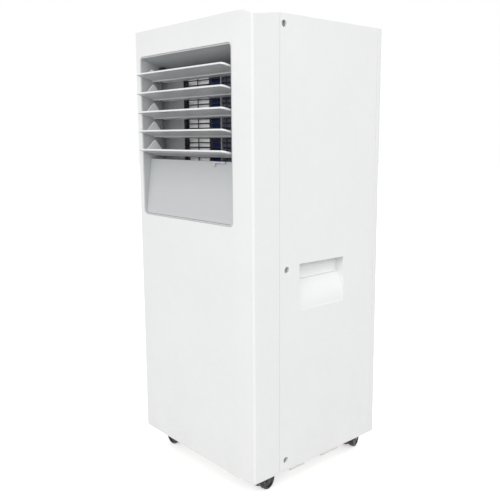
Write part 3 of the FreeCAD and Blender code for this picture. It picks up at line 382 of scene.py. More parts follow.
def studio_floor(name):
    """Pale seamless paper with the faintest tooth."""
    paint = Paint(name)
    tooth = paint.noise(0.004, 4.0)
    base = paint.blend(paint.noise(0.6, 3.0), (0.93, 0.93, 0.93), (0.96, 0.96, 0.96))
    return paint.surface(base, 0.7 + 0.2 * tooth, paint.bump(tooth, 0.0001), Emission_Strength=0.5,
                         Emission_Color=(1, 1, 1, 1))


def finish(slot):
    """Material of a slot of the record, made when it is first asked for."""
    name = "finish_" + slot
    known = bpy.data.materials.get(name)
    if known:
        return known
    scene = bpy.context.scene
    casing = tuple(scene.ac_casing.white)
    panel = tuple(scene.ac_casing.panel)
    liner = tuple(scene.ac_outlet.liner)
    blade = tuple(scene.ac_outlet.blade)
    blue = tuple(scene.ac_coil.blue)
    slate = tuple(scene.ac_coil.slate)
    shaded_from = scene.ac_coil.shaded_from
    black = (0.010, 0.010, 0.011)
    wheel = (0.008, 0.008, 0.009)
    mesh = (0.15, 0.16, 0.17)
    worn = (0.16, 0.16, 0.165)
    # Depths over which the liner's colour is painted darker, as shade deeper in the outlet duct.
    duct = (-0.124, -0.092)
    makers = {
        "casing_white": lambda: moulded(name, casing, 0.48, 0.0010, 0.00003, wear=0.1, dust=0.10, shine=0.15),
        "panel_white": lambda: moulded(name, panel, 0.24, 0.0016, 0.00002, wear=0.3, dust=0.04, coat=0.3),
        "outlet_grey": lambda: moulded(name, liner, 0.40, 0.0010, 0.00004, wear=0.35, dust=0.08, duct_shade=duct),
        "blade_grey": lambda: moulded(name, blade, 0.36, 0.0010, 0.00003, (0.95, 0.95, 0.95), 0.85, 0.08),
        "inner_plastic": lambda: moulded(name, (0.92, 0.92, 0.91), 0.55, 0.0014, 0.00006, dust=0.05),
        "tray_grey": lambda: moulded(name, (0.78, 0.78, 0.73), 0.52, 0.0014, 0.00006, wear=0.3, dust=0.1),
        "black_plastic": lambda: moulded(name, black, 0.34, 0.0009, 0.00004, worn, 0.2, 0.02),
        "wheel_black": lambda: moulded(name, wheel, 0.28, 0.0012, 0.00003, worn, 0.3, 0.03),
        "fan_white": lambda: moulded(name, (0.74, 0.74, 0.715), 0.45, 0.0012, 0.00004, wear=0.3, dust=0.2),
        "filter_mesh_grey": lambda: moulded(name, mesh, 0.6, 0.0008, 0.00005, worn, 0.2, 0.25),
        "key_grey": lambda: moulded(name, (0.44, 0.46, 0.48), 0.58, 0.0008, 0.00004, wear=0.3, dust=0.05),
        "spigot_grey": lambda: moulded(name, (0.39, 0.40, 0.41), 0.45, 0.0012, 0.00004, wear=0.3, dust=0.15),
        "black_rubber": lambda: moulded(name, (0.02, 0.02, 0.021), 0.72, 0.0010, 0.00010, worn, 0.3, 0.4),
        # Blue fins, painted slate as shade to the right of the given x.
        "blue_fin": lambda: coated_fin(name, blue, 0.1, (0.02, 0.04, 0.12), slate, shaded_from),
        "bare_fin": lambda: coated_fin(name, (0.70, 0.71, 0.72), 0.95, (0.40, 0.38, 0.34)),
        "copper": lambda: drawn_tube(name),
        "galvanised_steel": lambda: sheet_metal(name, (0.55, 0.57, 0.58), 0.006, 0.26),
        "bright_steel": lambda: sheet_metal(name, (0.34, 0.34, 0.35), 0.0012, 0.22),
        "motor_steel": lambda: sheet_metal(name, (0.45, 0.46, 0.47), 0.003, 0.30),
        "black_paint": lambda: enamel(name, (0.02, 0.02, 0.022)),
        "board_green": lambda: solder_mask(name),
        "display_smoke": lambda: smoked_lens(name),
    }
    return makers[slot]()


# ---- mesh helpers ----
def new_object(name, mesh):
    obj = bpy.data.objects.new(name, mesh)
    bpy.context.scene.collection.objects.link(obj)
    return obj


def mesh_of(name, bm):
    """Closed bmesh to a mesh whose faces point outwards."""
    bmesh.ops.remove_doubles(bm, verts=bm.verts, dist=1e-6)
    bmesh.ops.recalc_face_normals(bm, faces=bm.faces)
    mesh = bpy.data.meshes.new(name)
    bm.to_mesh(mesh)
    bm.free()
    return mesh


def evaluated_mesh(obj):
    """Plain mesh of an object with its modifiers applied."""
    graph = bpy.context.evaluated_depsgraph_get()
    final = obj.evaluated_get(graph)
    return bpy.data.meshes.new_from_object(final, preserve_all_data_layers=True, depsgraph=graph)


def take_mesh(obj):
    """Mesh of an object with its modifiers applied; the object goes."""
    mesh = evaluated_mesh(obj)
    bpy.data.objects.remove(obj)
    return mesh


def smooth(mesh):
    """Smooth shading with creases at sharp edges."""
    mesh.polygons.foreach_set("use_smooth", [True] * len(mesh.polygons))
    mesh.set_sharp_from_angle(angle=SHARP_ANGLE)
    return mesh


def mark_edges(mesh, width):
    """Gives full bevel weight to the sharp edges whose faces are wide enough for that rounding."""
    bm = bmesh.new()
    bm.from_mesh(mesh)
    weight = bm.edges.layers.float.new("bevel_weight_edge")
    for edge in bm.edges:
        if len(edge.link_faces) != 2 or edge.calc_face_angle() < SHARP_ANGLE:
            continue
        along = (edge.verts[1].co - edge.verts[0].co).normalized()
        room = True
        for vert in edge.verts:
            for other in vert.link_edges:
                if other is edge or not any(face in edge.link_faces for face in other.link_faces):
                    continue
                span = other.verts[1].co - other.verts[0].co
                if span.length < NARROW * width and abs(span.normalized().dot(along)) < 0.7:
                    room = False
        edge[weight] = 1.0 if room else 0.0
    bm.to_mesh(mesh)
    bm.free()


def folded_area(mesh):
    """Share by which a mesh's triangles cover more than its faces: above 0 where a face folds over itself."""
    mesh.calc_loop_triangles()
    faces = sum(face.area for face in mesh.polygons)
    return sum(triangle.area for triangle in mesh.loop_triangles) / faces - 1


def rounded(mesh, width, segments=3):
    """Mesh with rounded edges and weighted normals; the rounding shrinks where it would fold a face."""
    for share in (1, 0.6, 0.35, 0.2, 0.1):
        obj = new_object("edge_work", mesh.copy())
        mark_edges(obj.data, width * share)
        bevel = obj.modifiers.new("round_edges", "BEVEL")
        bevel.width = width * share
        bevel.segments = segments
        bevel.limit_method = "WEIGHT"
        bevel.use_clamp_overlap = False
        made = take_mesh(obj)
        if folded_area(made) < FOLDED_LIMIT:
            break
    obj = new_object("edge_work", smooth(made))
    weigh = obj.modifiers.new("even_shading", "WEIGHTED_NORMAL")
    weigh.keep_sharp = True
    weigh.weight = 80
    return take_mesh(obj)


def subtract(mesh, cutter):
    """Mesh with the cutter's volume taken out of it."""
    obj = new_object("cut_work", mesh)
    tool = new_object("cut_tool", cutter)
    cut = obj.modifiers.new("cut", "BOOLEAN")
    cut.operation = "DIFFERENCE"
    cut.solver = "EXACT"
    cut.object = tool
    made = take_mesh(obj)
    bpy.data.objects.remove(tool)
    return made


def cad_mesh(node):
    """Merged copy of a CAD node's mesh with its flat areas joined."""
    bm = bmesh.new()
    bm.from_mesh(frame["nodes"][node].data)
    bmesh.ops.remove_doubles(bm, verts=bm.verts, dist=2e-6)
    bmesh.ops.dissolve_limit(bm, angle_limit=FLAT_ANGLE, verts=bm.verts, edges=bm.edges, delimit=set())
    mesh = bpy.data.meshes.new(node)
    bm.to_mesh(mesh)
    bm.free()
    return mesh


def joined(name, meshes):
    """One mesh out of several, each with its own materials."""
    materials = []
    bm = bmesh.new()
    for mesh in meshes:
        start = len(bm.faces)
        bm.from_mesh(mesh)
        bm.faces.ensure_lookup_table()
        places = []
        for material in mesh.materials:
            if material not in materials:
                materials.append(material)
            places.append(materials.index(material))
        for face in bm.faces[start:]:
            face.material_index = places[face.material_index] if places else 0
    made = bpy.data.meshes.new(name)
    bm.to_mesh(made)
    bm.free()
    for material in materials:
        made.materials.append(material)
    return made


def painted(mesh, slot):
    """Mesh in the finish of one slot."""
    mesh.materials.clear()
    mesh.materials.append(finish(slot))
    return mesh


def recolour(mesh, slot, low, high):
    """Faces whose centres lie between two corners get the finish of a slot."""
    mesh.materials.append(finish(slot))
    for face in mesh.polygons:
        if all(low[i] < face.center[i] < high[i] for i in range(3)):
            face.material_index = len(mesh.materials) - 1
    return mesh


def place_piece(name, mesh, node, *others):
    """Object that stands for a CAD node, and for others with it, and rides on that node's body."""
    obj = new_object(name, mesh)
    if not mesh.materials:
        mesh.materials.append(finish(SLOT_OF[node]))
    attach(obj, BODY_OF[node])
    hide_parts(node, *others)
    return obj


def refine(node, width, segments=3):
    """Rounded copy of a CAD node that stands for it."""
    return place_piece(node + "_moulding", rounded(cad_mesh(node), width, segments), node)


def dress(*nodes):
    """Carried-over CAD nodes get the finish of their slot."""
    for node in nodes:
        obj = frame["nodes"][node]
        for place in obj.material_slots:
            place.material = finish(SLOT_OF[node])
        if not obj.material_slots:
            obj.data.materials.append(finish(SLOT_OF[node]))


def prism(name, outline, direction):
    """Closed outline of points swept along a vector."""
    bm = bmesh.new()
    start = [bm.verts.new(p) for p in outline]
    end = [bm.verts.new(Vector(p) + Vector(direction)) for p in outline]
    bm.faces.new(start)
    bm.faces.new(list(reversed(end)))
    for i in range(len(start)):
        j = (i + 1) % len(start)
        bm.faces.new((start[i], end[i], end[j], start[j]))
    return mesh_of(name, bm)


def block(name, low, high):
    """Box mesh between two corners."""
    outline = [(low[0], low[1], low[2]), (high[0], low[1], low[2]), (high[0], high[1], low[2]),
               (low[0], high[1], low[2])]
    return prism(name, outline, (0, 0, high[2] - low[2]))


def ring_prism(name, outer, inner, direction):
    """Frame between two outlines of the same number of points, swept along a vector."""
    bm = bmesh.new()
    loops = []
    for outline in (outer, inner):
        for shift in (Vector((0, 0, 0)), Vector(direction)):
            loops.append([bm.verts.new(Vector(p) + shift) for p in outline])
    outer_0, outer_1, inner_0, inner_1 = loops
    for one, two in ((outer_0, outer_1), (inner_1, inner_0), (inner_0, outer_0), (outer_1, inner_1)):
        for i in range(len(outer)):
            j = (i + 1) % len(outer)
            bm.faces.new((one[i], two[i], two[j], one[j]))
    return mesh_of(name, bm)


def round_rect(x, z, radius, y, steps=5):
    """Points of a rounded rectangle in the plane of one y."""
    points = []
    corners = ((x[1], z[1], 0), (x[0], z[1], 90), (x[0], z[0], 180), (x[1], z[0], 270))
    for cx, cz, start in corners:
        centre_x = cx - math.copysign(radius, cx - (x[0] + x[1]) / 2)
        centre_z = cz - math.copysign(radius, cz - (z[0] + z[1]) / 2)
        for step in range(steps + 1):
            angle = math.radians(start + 90 * step / steps)
            points.append((centre_x + radius * math.cos(angle), y, centre_z + radius * math.sin(angle)))
    return points


def lathe(name, profile, place, steps=48, closed=False):
    """Profile of (radius, height) pairs turned about an axis; place puts the Z axis where it belongs."""
    bm = bmesh.new()
    rings = []
    for step in range(steps):
        angle = 2 * math.pi * step / steps
        turn = Vector((math.cos(angle), math.sin(angle), 0))
        rings.append([bm.verts.new(turn * r + Z_AXIS * h) for r, h in profile])
    count = len(profile)
    for step in range(steps):
        one, two = rings[step], rings[(step + 1) % steps]
        for i in range(count if closed else count - 1):
            j = (i + 1) % count
            bm.faces.new((one[i], two[i], two[j], one[j]))
    bmesh.ops.remove_doubles(bm, verts=bm.verts, dist=1e-7)
    bmesh.ops.dissolve_degenerate(bm, edges=bm.edges, dist=1e-8)
    bm.transform(place)
    return smooth(mesh_of(name, bm))


def axis_place(centre, direction):
    """Matrix that puts the Z axis along a direction through a centre."""
    return Matrix.Translation(centre) @ Vector(direction).to_track_quat("Z", "Y").to_matrix().to_4x4()


# ---- geometry node trees for what repeats ----
def start_tree(name, sockets):
    """Geometry tree with named inputs; returns the tree and its group input node."""
    tree = bpy.data.node_groups.new(name, "GeometryNodeTree")
    tree.interface.new_socket(name="Geometry", in_out="INPUT", socket_type="NodeSocketGeometry")
    for label, kind in sockets:
        tree.interface.new_socket(name=label, in_out="INPUT", socket_type=kind)
    tree.interface.new_socket(name="Geometry", in_out="OUTPUT", socket_type="NodeSocketGeometry")
    return tree, tree.nodes.new("NodeGroupInput")


def tree_node(tree, kind, settings, inputs):
    """One geometry node: its settings first, then the values or links of its sockets."""
    made = tree.nodes.new(kind)
    for key, value in settings.items():
        setattr(made, key, value)
    for key, value in inputs.items():
        if isinstance(value, bpy.types.NodeSocket):
            tree.links.new(value, made.inputs[key])
        else:
            made.inputs[key].default_value = value
    return made


def end_tree(tree, given, instances):
    """Makes the instances real, sets their material and closes the tree."""
    real = tree_node(tree, "GeometryNodeRealizeInstances", {}, {"Geometry": instances})
    coloured = tree_node(tree, "GeometryNodeSetMaterial", {},
                         {"Geometry": real.outputs[0], "Material": given.outputs["Material"]})
    tree_node(tree, "NodeGroupOutput", {}, {"Geometry": coloured.outputs[0]})
    return tree


def row_tree():
    """Copies of the piece in a straight row, each a little out of its place."""
    known = bpy.data.node_groups.get("row_of_copies")
    if known:
        return known
    tree, given = start_tree("row_of_copies", (("Count", "NodeSocketInt"), ("Step", "NodeSocketVector"),
                                               ("Play", "NodeSocketVector"), ("Seed", "NodeSocketInt"),
                                               ("Material", "NodeSocketMaterial")))
    line = tree_node(tree, "GeometryNodeMeshLine", {"mode": "OFFSET"},
                     {"Count": given.outputs["Count"], "Offset": given.outputs["Step"]})
    least = tree_node(tree, "ShaderNodeVectorMath", {"operation": "SCALE"},
                      {0: given.outputs["Play"], "Scale": -1.0})
    loose = tree_node(tree, "FunctionNodeRandomValue", {"data_type": "FLOAT_VECTOR"},
                      {0: least.outputs[0], 1: given.outputs["Play"], "Seed": given.outputs["Seed"]})
    moved = tree_node(tree, "GeometryNodeSetPosition", {},
                      {"Geometry": line.outputs[0], "Offset": loose.outputs[0]})
    copies = tree_node(tree, "GeometryNodeInstanceOnPoints", {},
                       {"Points": moved.outputs[0], "Instance": given.outputs["Geometry"]})
    return end_tree(tree, given, copies.outputs[0])


def ring_tree():
    """Copies of the piece turned about an upright axis."""
    known = bpy.data.node_groups.get("ring_of_copies")
    if known:
        return known
    tree, given = start_tree("ring_of_copies", (("Count", "NodeSocketInt"), ("Centre", "NodeSocketVector"),
                                                ("Material", "NodeSocketMaterial")))
    points = tree_node(tree, "GeometryNodePoints", {},
                       {"Count": given.outputs["Count"], "Position": given.outputs["Centre"]})
    index = tree_node(tree, "GeometryNodeInputIndex", {}, {})
    share = tree_node(tree, "ShaderNodeMath", {"operation": "DIVIDE"},
                      {0: index.outputs[0], 1: given.outputs["Count"]})
    angle = tree_node(tree, "ShaderNodeMath", {"operation": "MULTIPLY"},
                      {0: share.outputs[0], 1: 2 * math.pi})
    turn = tree_node(tree, "ShaderNodeCombineXYZ", {}, {"Z": angle.outputs[0]})
    copies = tree_node(tree, "GeometryNodeInstanceOnPoints", {},
                       {"Points": points.outputs[0], "Instance": given.outputs["Geometry"],
                        "Rotation": turn.outputs[0]})
    return end_tree(tree, given, copies.outputs[0])


def spots_tree():
    """A template object at each point, with its Z axis along the point's facing attribute."""
    known = bpy.data.node_groups.get("copies_on_spots")
    if known:
        return known
    tree, given = start_tree("copies_on_spots", (("Template", "NodeSocketObject"),
                                                 ("Material", "NodeSocketMaterial")))
    facing = tree_node(tree, "GeometryNodeInputNamedAttribute", {"data_type": "FLOAT_VECTOR"},
                       {"Name": "facing"})
    turn = tree_node(tree, "FunctionNodeAlignRotationToVector", {"axis": "Z"}, {"Vector": facing.outputs[0]})
    template = tree_node(tree, "GeometryNodeObjectInfo", {}, {"Object": given.outputs["Template"]})
    copies = tree_node(tree, "GeometryNodeInstanceOnPoints", {},
                       {"Points": given.outputs["Geometry"], "Instance": template.outputs["Geometry"],
                        "Rotation": turn.outputs[0]})
    return end_tree(tree, given, copies.outputs[0])


def repeated(mesh, tree, values):
    """Runs a tree on a mesh with its named inputs and returns the plain result."""
    obj = new_object("repeat_work", mesh)
    modifier = obj.modifiers.new("repeat", "NODES")
    modifier.node_group = tree
    for item in tree.interface.items_tree:
        if item.in_out == "INPUT" and item.name in values:
            modifier[item.identifier] = values[item.name]
    return take_mesh(obj)


def row(mesh, slot, count, step, play=(0, 0, 0), seed=1):
    """Copies of a mesh in a row, in the finish of a slot."""
    values = {"Count": count, "Step": tuple(step), "Play": tuple(play), "Seed": seed}
    values["Material"] = finish(slot)
    return repeated(mesh, row_tree(), values)


# ---- operators ----
class PieceOperator(bpy.types.Operator):
    """Base of the operators that each make one group of pieces."""

    bl_idname = "portable_ac.piece"
    bl_label = "Piece"
    bl_options = {"INTERNAL"}

    def execute(self, context):
        self.make(context.scene)
        return {"FINISHED"}


class StageOperator(PieceOperator):
    """Make the floor, the lights and the camera"""

    bl_idname = "portable_ac.stage"
    bl_label = "Stage"

    AZIMUTH = math.radians(48.5367)
    ELEVATION = math.radians(8.7688)
    ROLL = math.radians(0.2835)
    BODY_TALL = 0.63
    CENTRE_HEIGHT = 0.345
    DISTANCE = 1.6373         # from the casing's centre, in casing heights, as the next two
    ASIDE = 0.0011
    RAISED = 0.0024
    LENS = 46.99
    SHIFT = (-0.0156, -0.0263)
    SKY_TURNS = (-0.25, -0.06)    # the light around grows from dim to full between these two slopes
    LOW_SKY = 0.22
    FLOOR_HALF = 9.0
    FLOOR_THICK = 0.02

    def light(self, name, place, aim, energy, size):
        """Square soft light that looks at a point."""
        data = bpy.data.lights.new(name, "AREA")
        data.energy = energy
        data.shape = "RECTANGLE"
        data.size, data.size_y = (size, size)
        obj = bpy.data.objects.new(name, data)
        bpy.context.scene.collection.objects.link(obj)
        obj.location = place
        obj.rotation_euler = (Vector(aim) - Vector(place)).to_track_quat("-Z", "Y").to_euler()

    def make(self, scene):
        half = self.FLOOR_HALF
        floor = new_object("floor", block("floor", (-half, -half, -self.FLOOR_THICK), (half, half, 0)))
        floor.data.materials.append(studio_floor("paper"))

        world = bpy.data.worlds.new("studio")
        scene.world = world
        world.use_nodes = True
        sky = world.node_tree
        direction = sky.nodes.new("ShaderNodeTexCoord")
        split = sky.nodes.new("ShaderNodeSeparateXYZ")
        level = sky.nodes.new("ShaderNodeMapRange")
        level.inputs["From Min"].default_value, level.inputs["From Max"].default_value = self.SKY_TURNS
        level.inputs["To Min"].default_value = self.LOW_SKY
        level.inputs["To Max"].default_value = 1.0
        background = sky.nodes["Background"]
        background.inputs["Color"].default_value = (1, 1, 1, 1)
        sky.links.new(direction.outputs["Generated"], split.inputs[0])
        sky.links.new(split.outputs["Z"], level.inputs["Value"])
        sky.links.new(level.outputs[0], background.inputs["Strength"])
        floor.visible_diffuse = False
        self.light("key", (0.9, -3.2, 1.5), (0, 0, 0.4), 27, 1.2)
        self.light("side_fill", (3.0, 0.4, 1.6), (0, 0, 0.4), 18, 1.6)
        self.light("front_fill", (2.0, -2.0, 1.0), (0, 0, 0.5), 9, 0.8)

        scene.view_settings.view_transform = "Standard"
        scene.view_settings.look = "None"
        camera_data = bpy.data.cameras.new("camera")
        camera = bpy.data.objects.new("camera", camera_data)
        scene.collection.objects.link(camera)
        back = Vector((math.sin(self.AZIMUTH) * math.cos(self.ELEVATION),
                       -math.cos(self.AZIMUTH) * math.cos(self.ELEVATION), math.sin(self.ELEVATION)))
        right = Vector((math.cos(self.AZIMUTH), math.sin(self.AZIMUTH), 0))
        up = back.cross(right)
        tall = self.BODY_TALL
        centre = Vector((0, 0, self.CENTRE_HEIGHT))
        camera.location = (centre + back * (self.DISTANCE * tall) - right * (self.ASIDE * tall)
                           + up * (self.RAISED * tall))
        c, s = math.cos(self.ROLL), math.sin(self.ROLL)
        x_axis = right * c - up * s
        y_axis = right * s + up * c
        camera.rotation_mode = "QUATERNION"
        camera.rotation_quaternion = Matrix((x_axis, y_axis, back)).transposed().to_quaternion()
        camera_data.sensor_width = 36
        camera_data.lens = self.LENS
        camera_data.shift_x, camera_data.shift_y = self.SHIFT
        camera_data.clip_start = 0.05
        camera_data.clip_end = 60
        scene.camera = camera


class CasingOperator(PieceOperator):
    """Make the front shell, the side panels, the rear panel and the top cover"""

    bl_idname = "portable_ac.casing"
    bl_label = "Casing"

    def make(self, scene):
        edge = scene.ac_casing.edge
        for node in ("front_shell", "right_side_panel", "left_side_panel", "rear_panel", "top_cover"):
            refine(node, edge)


class ControlsOperator(PieceOperator):
    """Make the control panel, its keys and its display"""

    bl_idname = "portable_ac.controls"
    bl_label = "Controls"

    INK = 0.00012             # thickness of the print
    SIGN = 0.0034             # half size of a sign
    STROKE = 0.0007
    PLUS_ARM = 0.0024
    SUNK = 0.00004            # how deep the print starts in its key
    LENS_SUNK = 0.00006
    DIGITS_X = (-0.0105, -0.0015)
    LAMPS = 4
    LAMP_X = 0.0115
    LAMP_UP = 0.0045          # first lamp, from the near edge of the window
    LAMP_R = 0.0007
    LAMP_PITCH = 0.0042

    def bar(self, start, end, width, z):
        """Short printed stroke between two points."""
        along = (Vector(end) - Vector(start)).normalized()
        across = Vector((-along.y, along.x)) * (width / 2)
        outline = [Vector(start) - across, Vector(end) - across]
        outline += [Vector(end) + across, Vector(start) + across]
        return prism("stroke", [(p.x, p.y, z) for p in outline], (0, 0, self.INK))

    def arc(self, centre, radius, start, end, width, z):
        """Printed stroke along part of a circle."""
        points = []
        steps = 20
        for side in (1, -1):
            for step in range(steps + 1):
                share = step / steps if side == 1 else 1 - step / steps
                angle = math.radians(start + (end - start) * share)
                r = radius + side * width / 2
                points.append((centre[0] + r * math.cos(angle), centre[1] + r * math.sin(angle), z))
        return prism("stroke", points, (0, 0, self.INK))

    def symbol(self, kind, x, y, z):
        """Generic sign: power, cold, blower, minus or plus."""
        size = self.SIGN
        width = self.STROKE
        centre = Vector((x, y))
        if kind == "power":
            return [self.arc((x, y), size, 120, 420, width, z),
                    self.bar(centre + Vector((0, 0.0008)), centre + Vector((0, size * 1.25)), width, z)]
        if kind == "cold":
            strokes = []
            for turn in (30, 90, 150):
                arm = Vector((math.cos(math.radians(turn)), math.sin(math.radians(turn)))) * size
                strokes.append(self.bar(centre - arm, centre + arm, width, z))
            return strokes
        if kind == "blower":
            strokes = []
            for turn in (90, 210, 330):
                hub = Vector((math.cos(math.radians(turn)), math.sin(math.radians(turn)))) * (size * 0.55)
                strokes.append(self.arc(centre + hub, size * 0.5, turn - 130, turn + 110, width, z))
            return strokes
        arm = Vector((self.PLUS_ARM, 0))
        strokes = [self.bar(centre - arm, centre + arm, width, z)]
        if kind == "plus":
            arm = Vector((0, self.PLUS_ARM))
            strokes.append(self.bar(centre - arm, centre + arm, width, z))
        return strokes

    def digit(self, x, y, z):
        """Seven unlit bars of one display digit."""
        half, tall, width = 0.0028, 0.0055, 0.0009
        gap = 0.0006
        strokes = []
        for level in (-tall, 0, tall):
            strokes.append(self.bar((x - half + gap, y + level), (x + half - gap, y + level), width, z))
        for side in (x - half, x + half):
            for low in (-tall, 0):
                strokes.append(self.bar((side, y + low + gap), (side, y + low + tall - gap), width, z))
        return strokes

    def key(self, node, signs):
        """Key with its printed signs, each a kind and an x."""
        low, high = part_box(node)
        meshes = [painted(rounded(cad_mesh(node), SMALL_EDGE), SLOT_OF[node])]
        for kind, x in signs:
            for stroke in self.symbol(kind, x, (low.y + high.y) / 2, high.z - self.SUNK):
                meshes.append(painted(stroke, "panel_white"))
        place_piece(node + "_key", joined(node, meshes), node)

    def make(self, scene):
        refine("control_panel", 0.0008)
        signs = {"button_power": "power", "button_mode": "cold", "button_fan_speed": "blower"}
        for node, kind in signs.items():
            low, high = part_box(node)
            self.key(node, [(kind, (low.x + high.x) / 2)])
        low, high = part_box("temperature_rocker")
        third = (high.x - low.x) / 3.4
        middle = (low.x + high.x) / 2
        self.key("temperature_rocker", [("minus", middle - third), ("plus", middle + third)])

        low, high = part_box("display_window")
        z = high.z - self.LENS_SUNK
        meshes = [painted(rounded(cad_mesh("display_window"), SMALL_EDGE), "display_smoke")]
        for x in self.DIGITS_X:
            for stroke in self.digit(x, (low.y + high.y) / 2, z):
                meshes.append(painted(stroke, "black_rubber"))
        profile = [(0, 0), (self.LAMP_R, 0), (self.LAMP_R, self.INK), (0, self.INK)]
        for index in range(self.LAMPS):
            y = low.y + self.LAMP_UP + index * self.LAMP_PITCH
            spot = axis_place(Vector((self.LAMP_X, y, z)), Z_AXIS)
            meshes.append(painted(lathe("lamp", profile, spot, 16), "spigot_grey"))
        place_piece("display_window_lens", joined("display_window", meshes), "display_window")
        dress("control_board")


class OutletOperator(PieceOperator):
    """Make the outlet's liner, the infill panel, the louvre motor and the finger guard"""

    bl_idname = "portable_ac.outlet"
    bl_label = "Outlet"

    STOP_FROM = (0.0145, 0.0255, -0.0255)     # link stop's corner, from the liner's left, front and top
    STOP_SIZE = (0.0065, 0.0135, 0.0095)
    RIM_SIDE = 0.0042
    RIM_FOOT = 0.0028
    RIM_TOP = 0.005
    RIM_CORNERS = (0.002, 0.001)
    BAR_INSET = 0.002
    FIRST_BAR = 0.0115
    ABOVE_BARS = 0.0045
    POST_INSET = 0.0015
    FIRST_POST = 0.0038
    POSTS = 4

    def rod(self, name, radius, long, start, direction):
        """Round bar of the guard with one blunted end."""
        profile = [(0, 0), (radius * 0.8, 0), (radius, radius * 0.2), (radius, long), (0, long)]
        return lathe(name, profile, axis_place(Vector(start), direction), 10)

    def make(self, scene):
        low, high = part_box("outlet_bezel")
        liner = painted(rounded(cad_mesh("outlet_bezel"), SMALL_EDGE), SLOT_OF["outlet_bezel"])
        stop = Vector((low.x, low.y, high.z)) + Vector(self.STOP_FROM)
        recolour(liner, "black_rubber", stop, stop + Vector(self.STOP_SIZE))
        place_piece("outlet_bezel_moulding", liner, "outlet_bezel")
        refine("infill_panel", SMALL_EDGE)
        dress("louvre_motor")
        self.guard(scene.ac_outlet)

    def guard(self, settings):
        """Level bars and uprights in a flat rim."""
        low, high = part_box("outlet_guard")
        r = settings.bar_radius
        wide = high.x - low.x
        tall = high.z - low.z
        y = low.y + r
        start = (low.x + self.BAR_INSET, y, low.z + self.FIRST_BAR)
        bar = self.rod("bar", r, wide - 2 * self.BAR_INSET, start, X_AXIS)
        count = int((tall - (self.FIRST_BAR + self.ABOVE_BARS)) / settings.bar_pitch) + 1
        level = row(bar, "black_plastic", count, (0, 0, settings.bar_pitch))
        first_x = low.x + self.FIRST_POST + settings.upright_pitch
        start = (first_x, y + r * 0.7, low.z + self.POST_INSET)
        post = self.rod("post", r, tall - 2 * self.POST_INSET, start, Z_AXIS)
        upright = row(post, "black_plastic", self.POSTS, (settings.upright_pitch, 0, 0))
        outer = round_rect((low.x, high.x), (low.z, high.z), self.RIM_CORNERS[0], low.y)
        inner = round_rect((low.x + self.RIM_SIDE, high.x - self.RIM_SIDE),
                           (low.z + self.RIM_FOOT, high.z - self.RIM_TOP), self.RIM_CORNERS[1], low.y)
        rim = rounded(ring_prism("rim", outer, inner, (0, high.y - low.y, 0)), SMALL_EDGE, 2)
        parts = [level, upright, painted(rim, "black_plastic")]
        place_piece("outlet_guard_bars", joined("outlet_guard", parts), "outlet_guard")


class LouvresOperator(PieceOperator):
    """Make the five louvre blades and their link"""

    bl_idname = "portable_ac.louvres"
    bl_label = "Louvres"

    def make(self, scene):
        for index in range(BLADE_COUNT):
            refine("louvre_blade_" + str(index + 1), 0.0003)
        link = painted(rounded(cad_mesh("louvre_link"), 0.0003), "filter_mesh_grey")
        place_piece("louvre_link_bar", link, "louvre_link")


class CoilsOperator(PieceOperator):
    """Make both coils: thin fins in a row, tubes and end plates"""

    bl_idname = "portable_ac.coils"
    bl_label = "Coils"

    def fins(self, scene, node, slot):
        """Corrugated fins across the coil."""
        settings = scene.ac_coil
        low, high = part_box(node)
        thick = settings.fin_thick
        wave = 0.00035
        folds = 8
        edge = 0.0004
        first = 0.0006
        spare = 0.0018
        outline = []
        for side in (0, 1):
            for fold in range(folds + 1):
                step = fold if side == 0 else folds - fold
                y = low.y + edge + (high.y - low.y - 2 * edge) * step / folds
                x = low.x + first + (wave if step % 2 else 0) + side * thick
                outline.append((x, y, low.z + edge))
        fin = prism("fin", outline, (0, 0, high.z - low.z - 2 * edge))
        count = int((high.x - low.x - spare) / settings.fin_pitch) + 1
        play = (settings.fin_lean, 0, 0)
        made = row(fin, slot, count, (settings.fin_pitch, 0, 0), play, settings.fin_seed)
        place_piece(node + "_pack", made, node)

    def make(self, scene):
        self.fins(scene, "evaporator_fins", "blue_fin")
        self.fins(scene, "condenser_fins", "bare_fin")
        dress("evaporator_tubes", "condenser_tubes", "coil_end_plates")


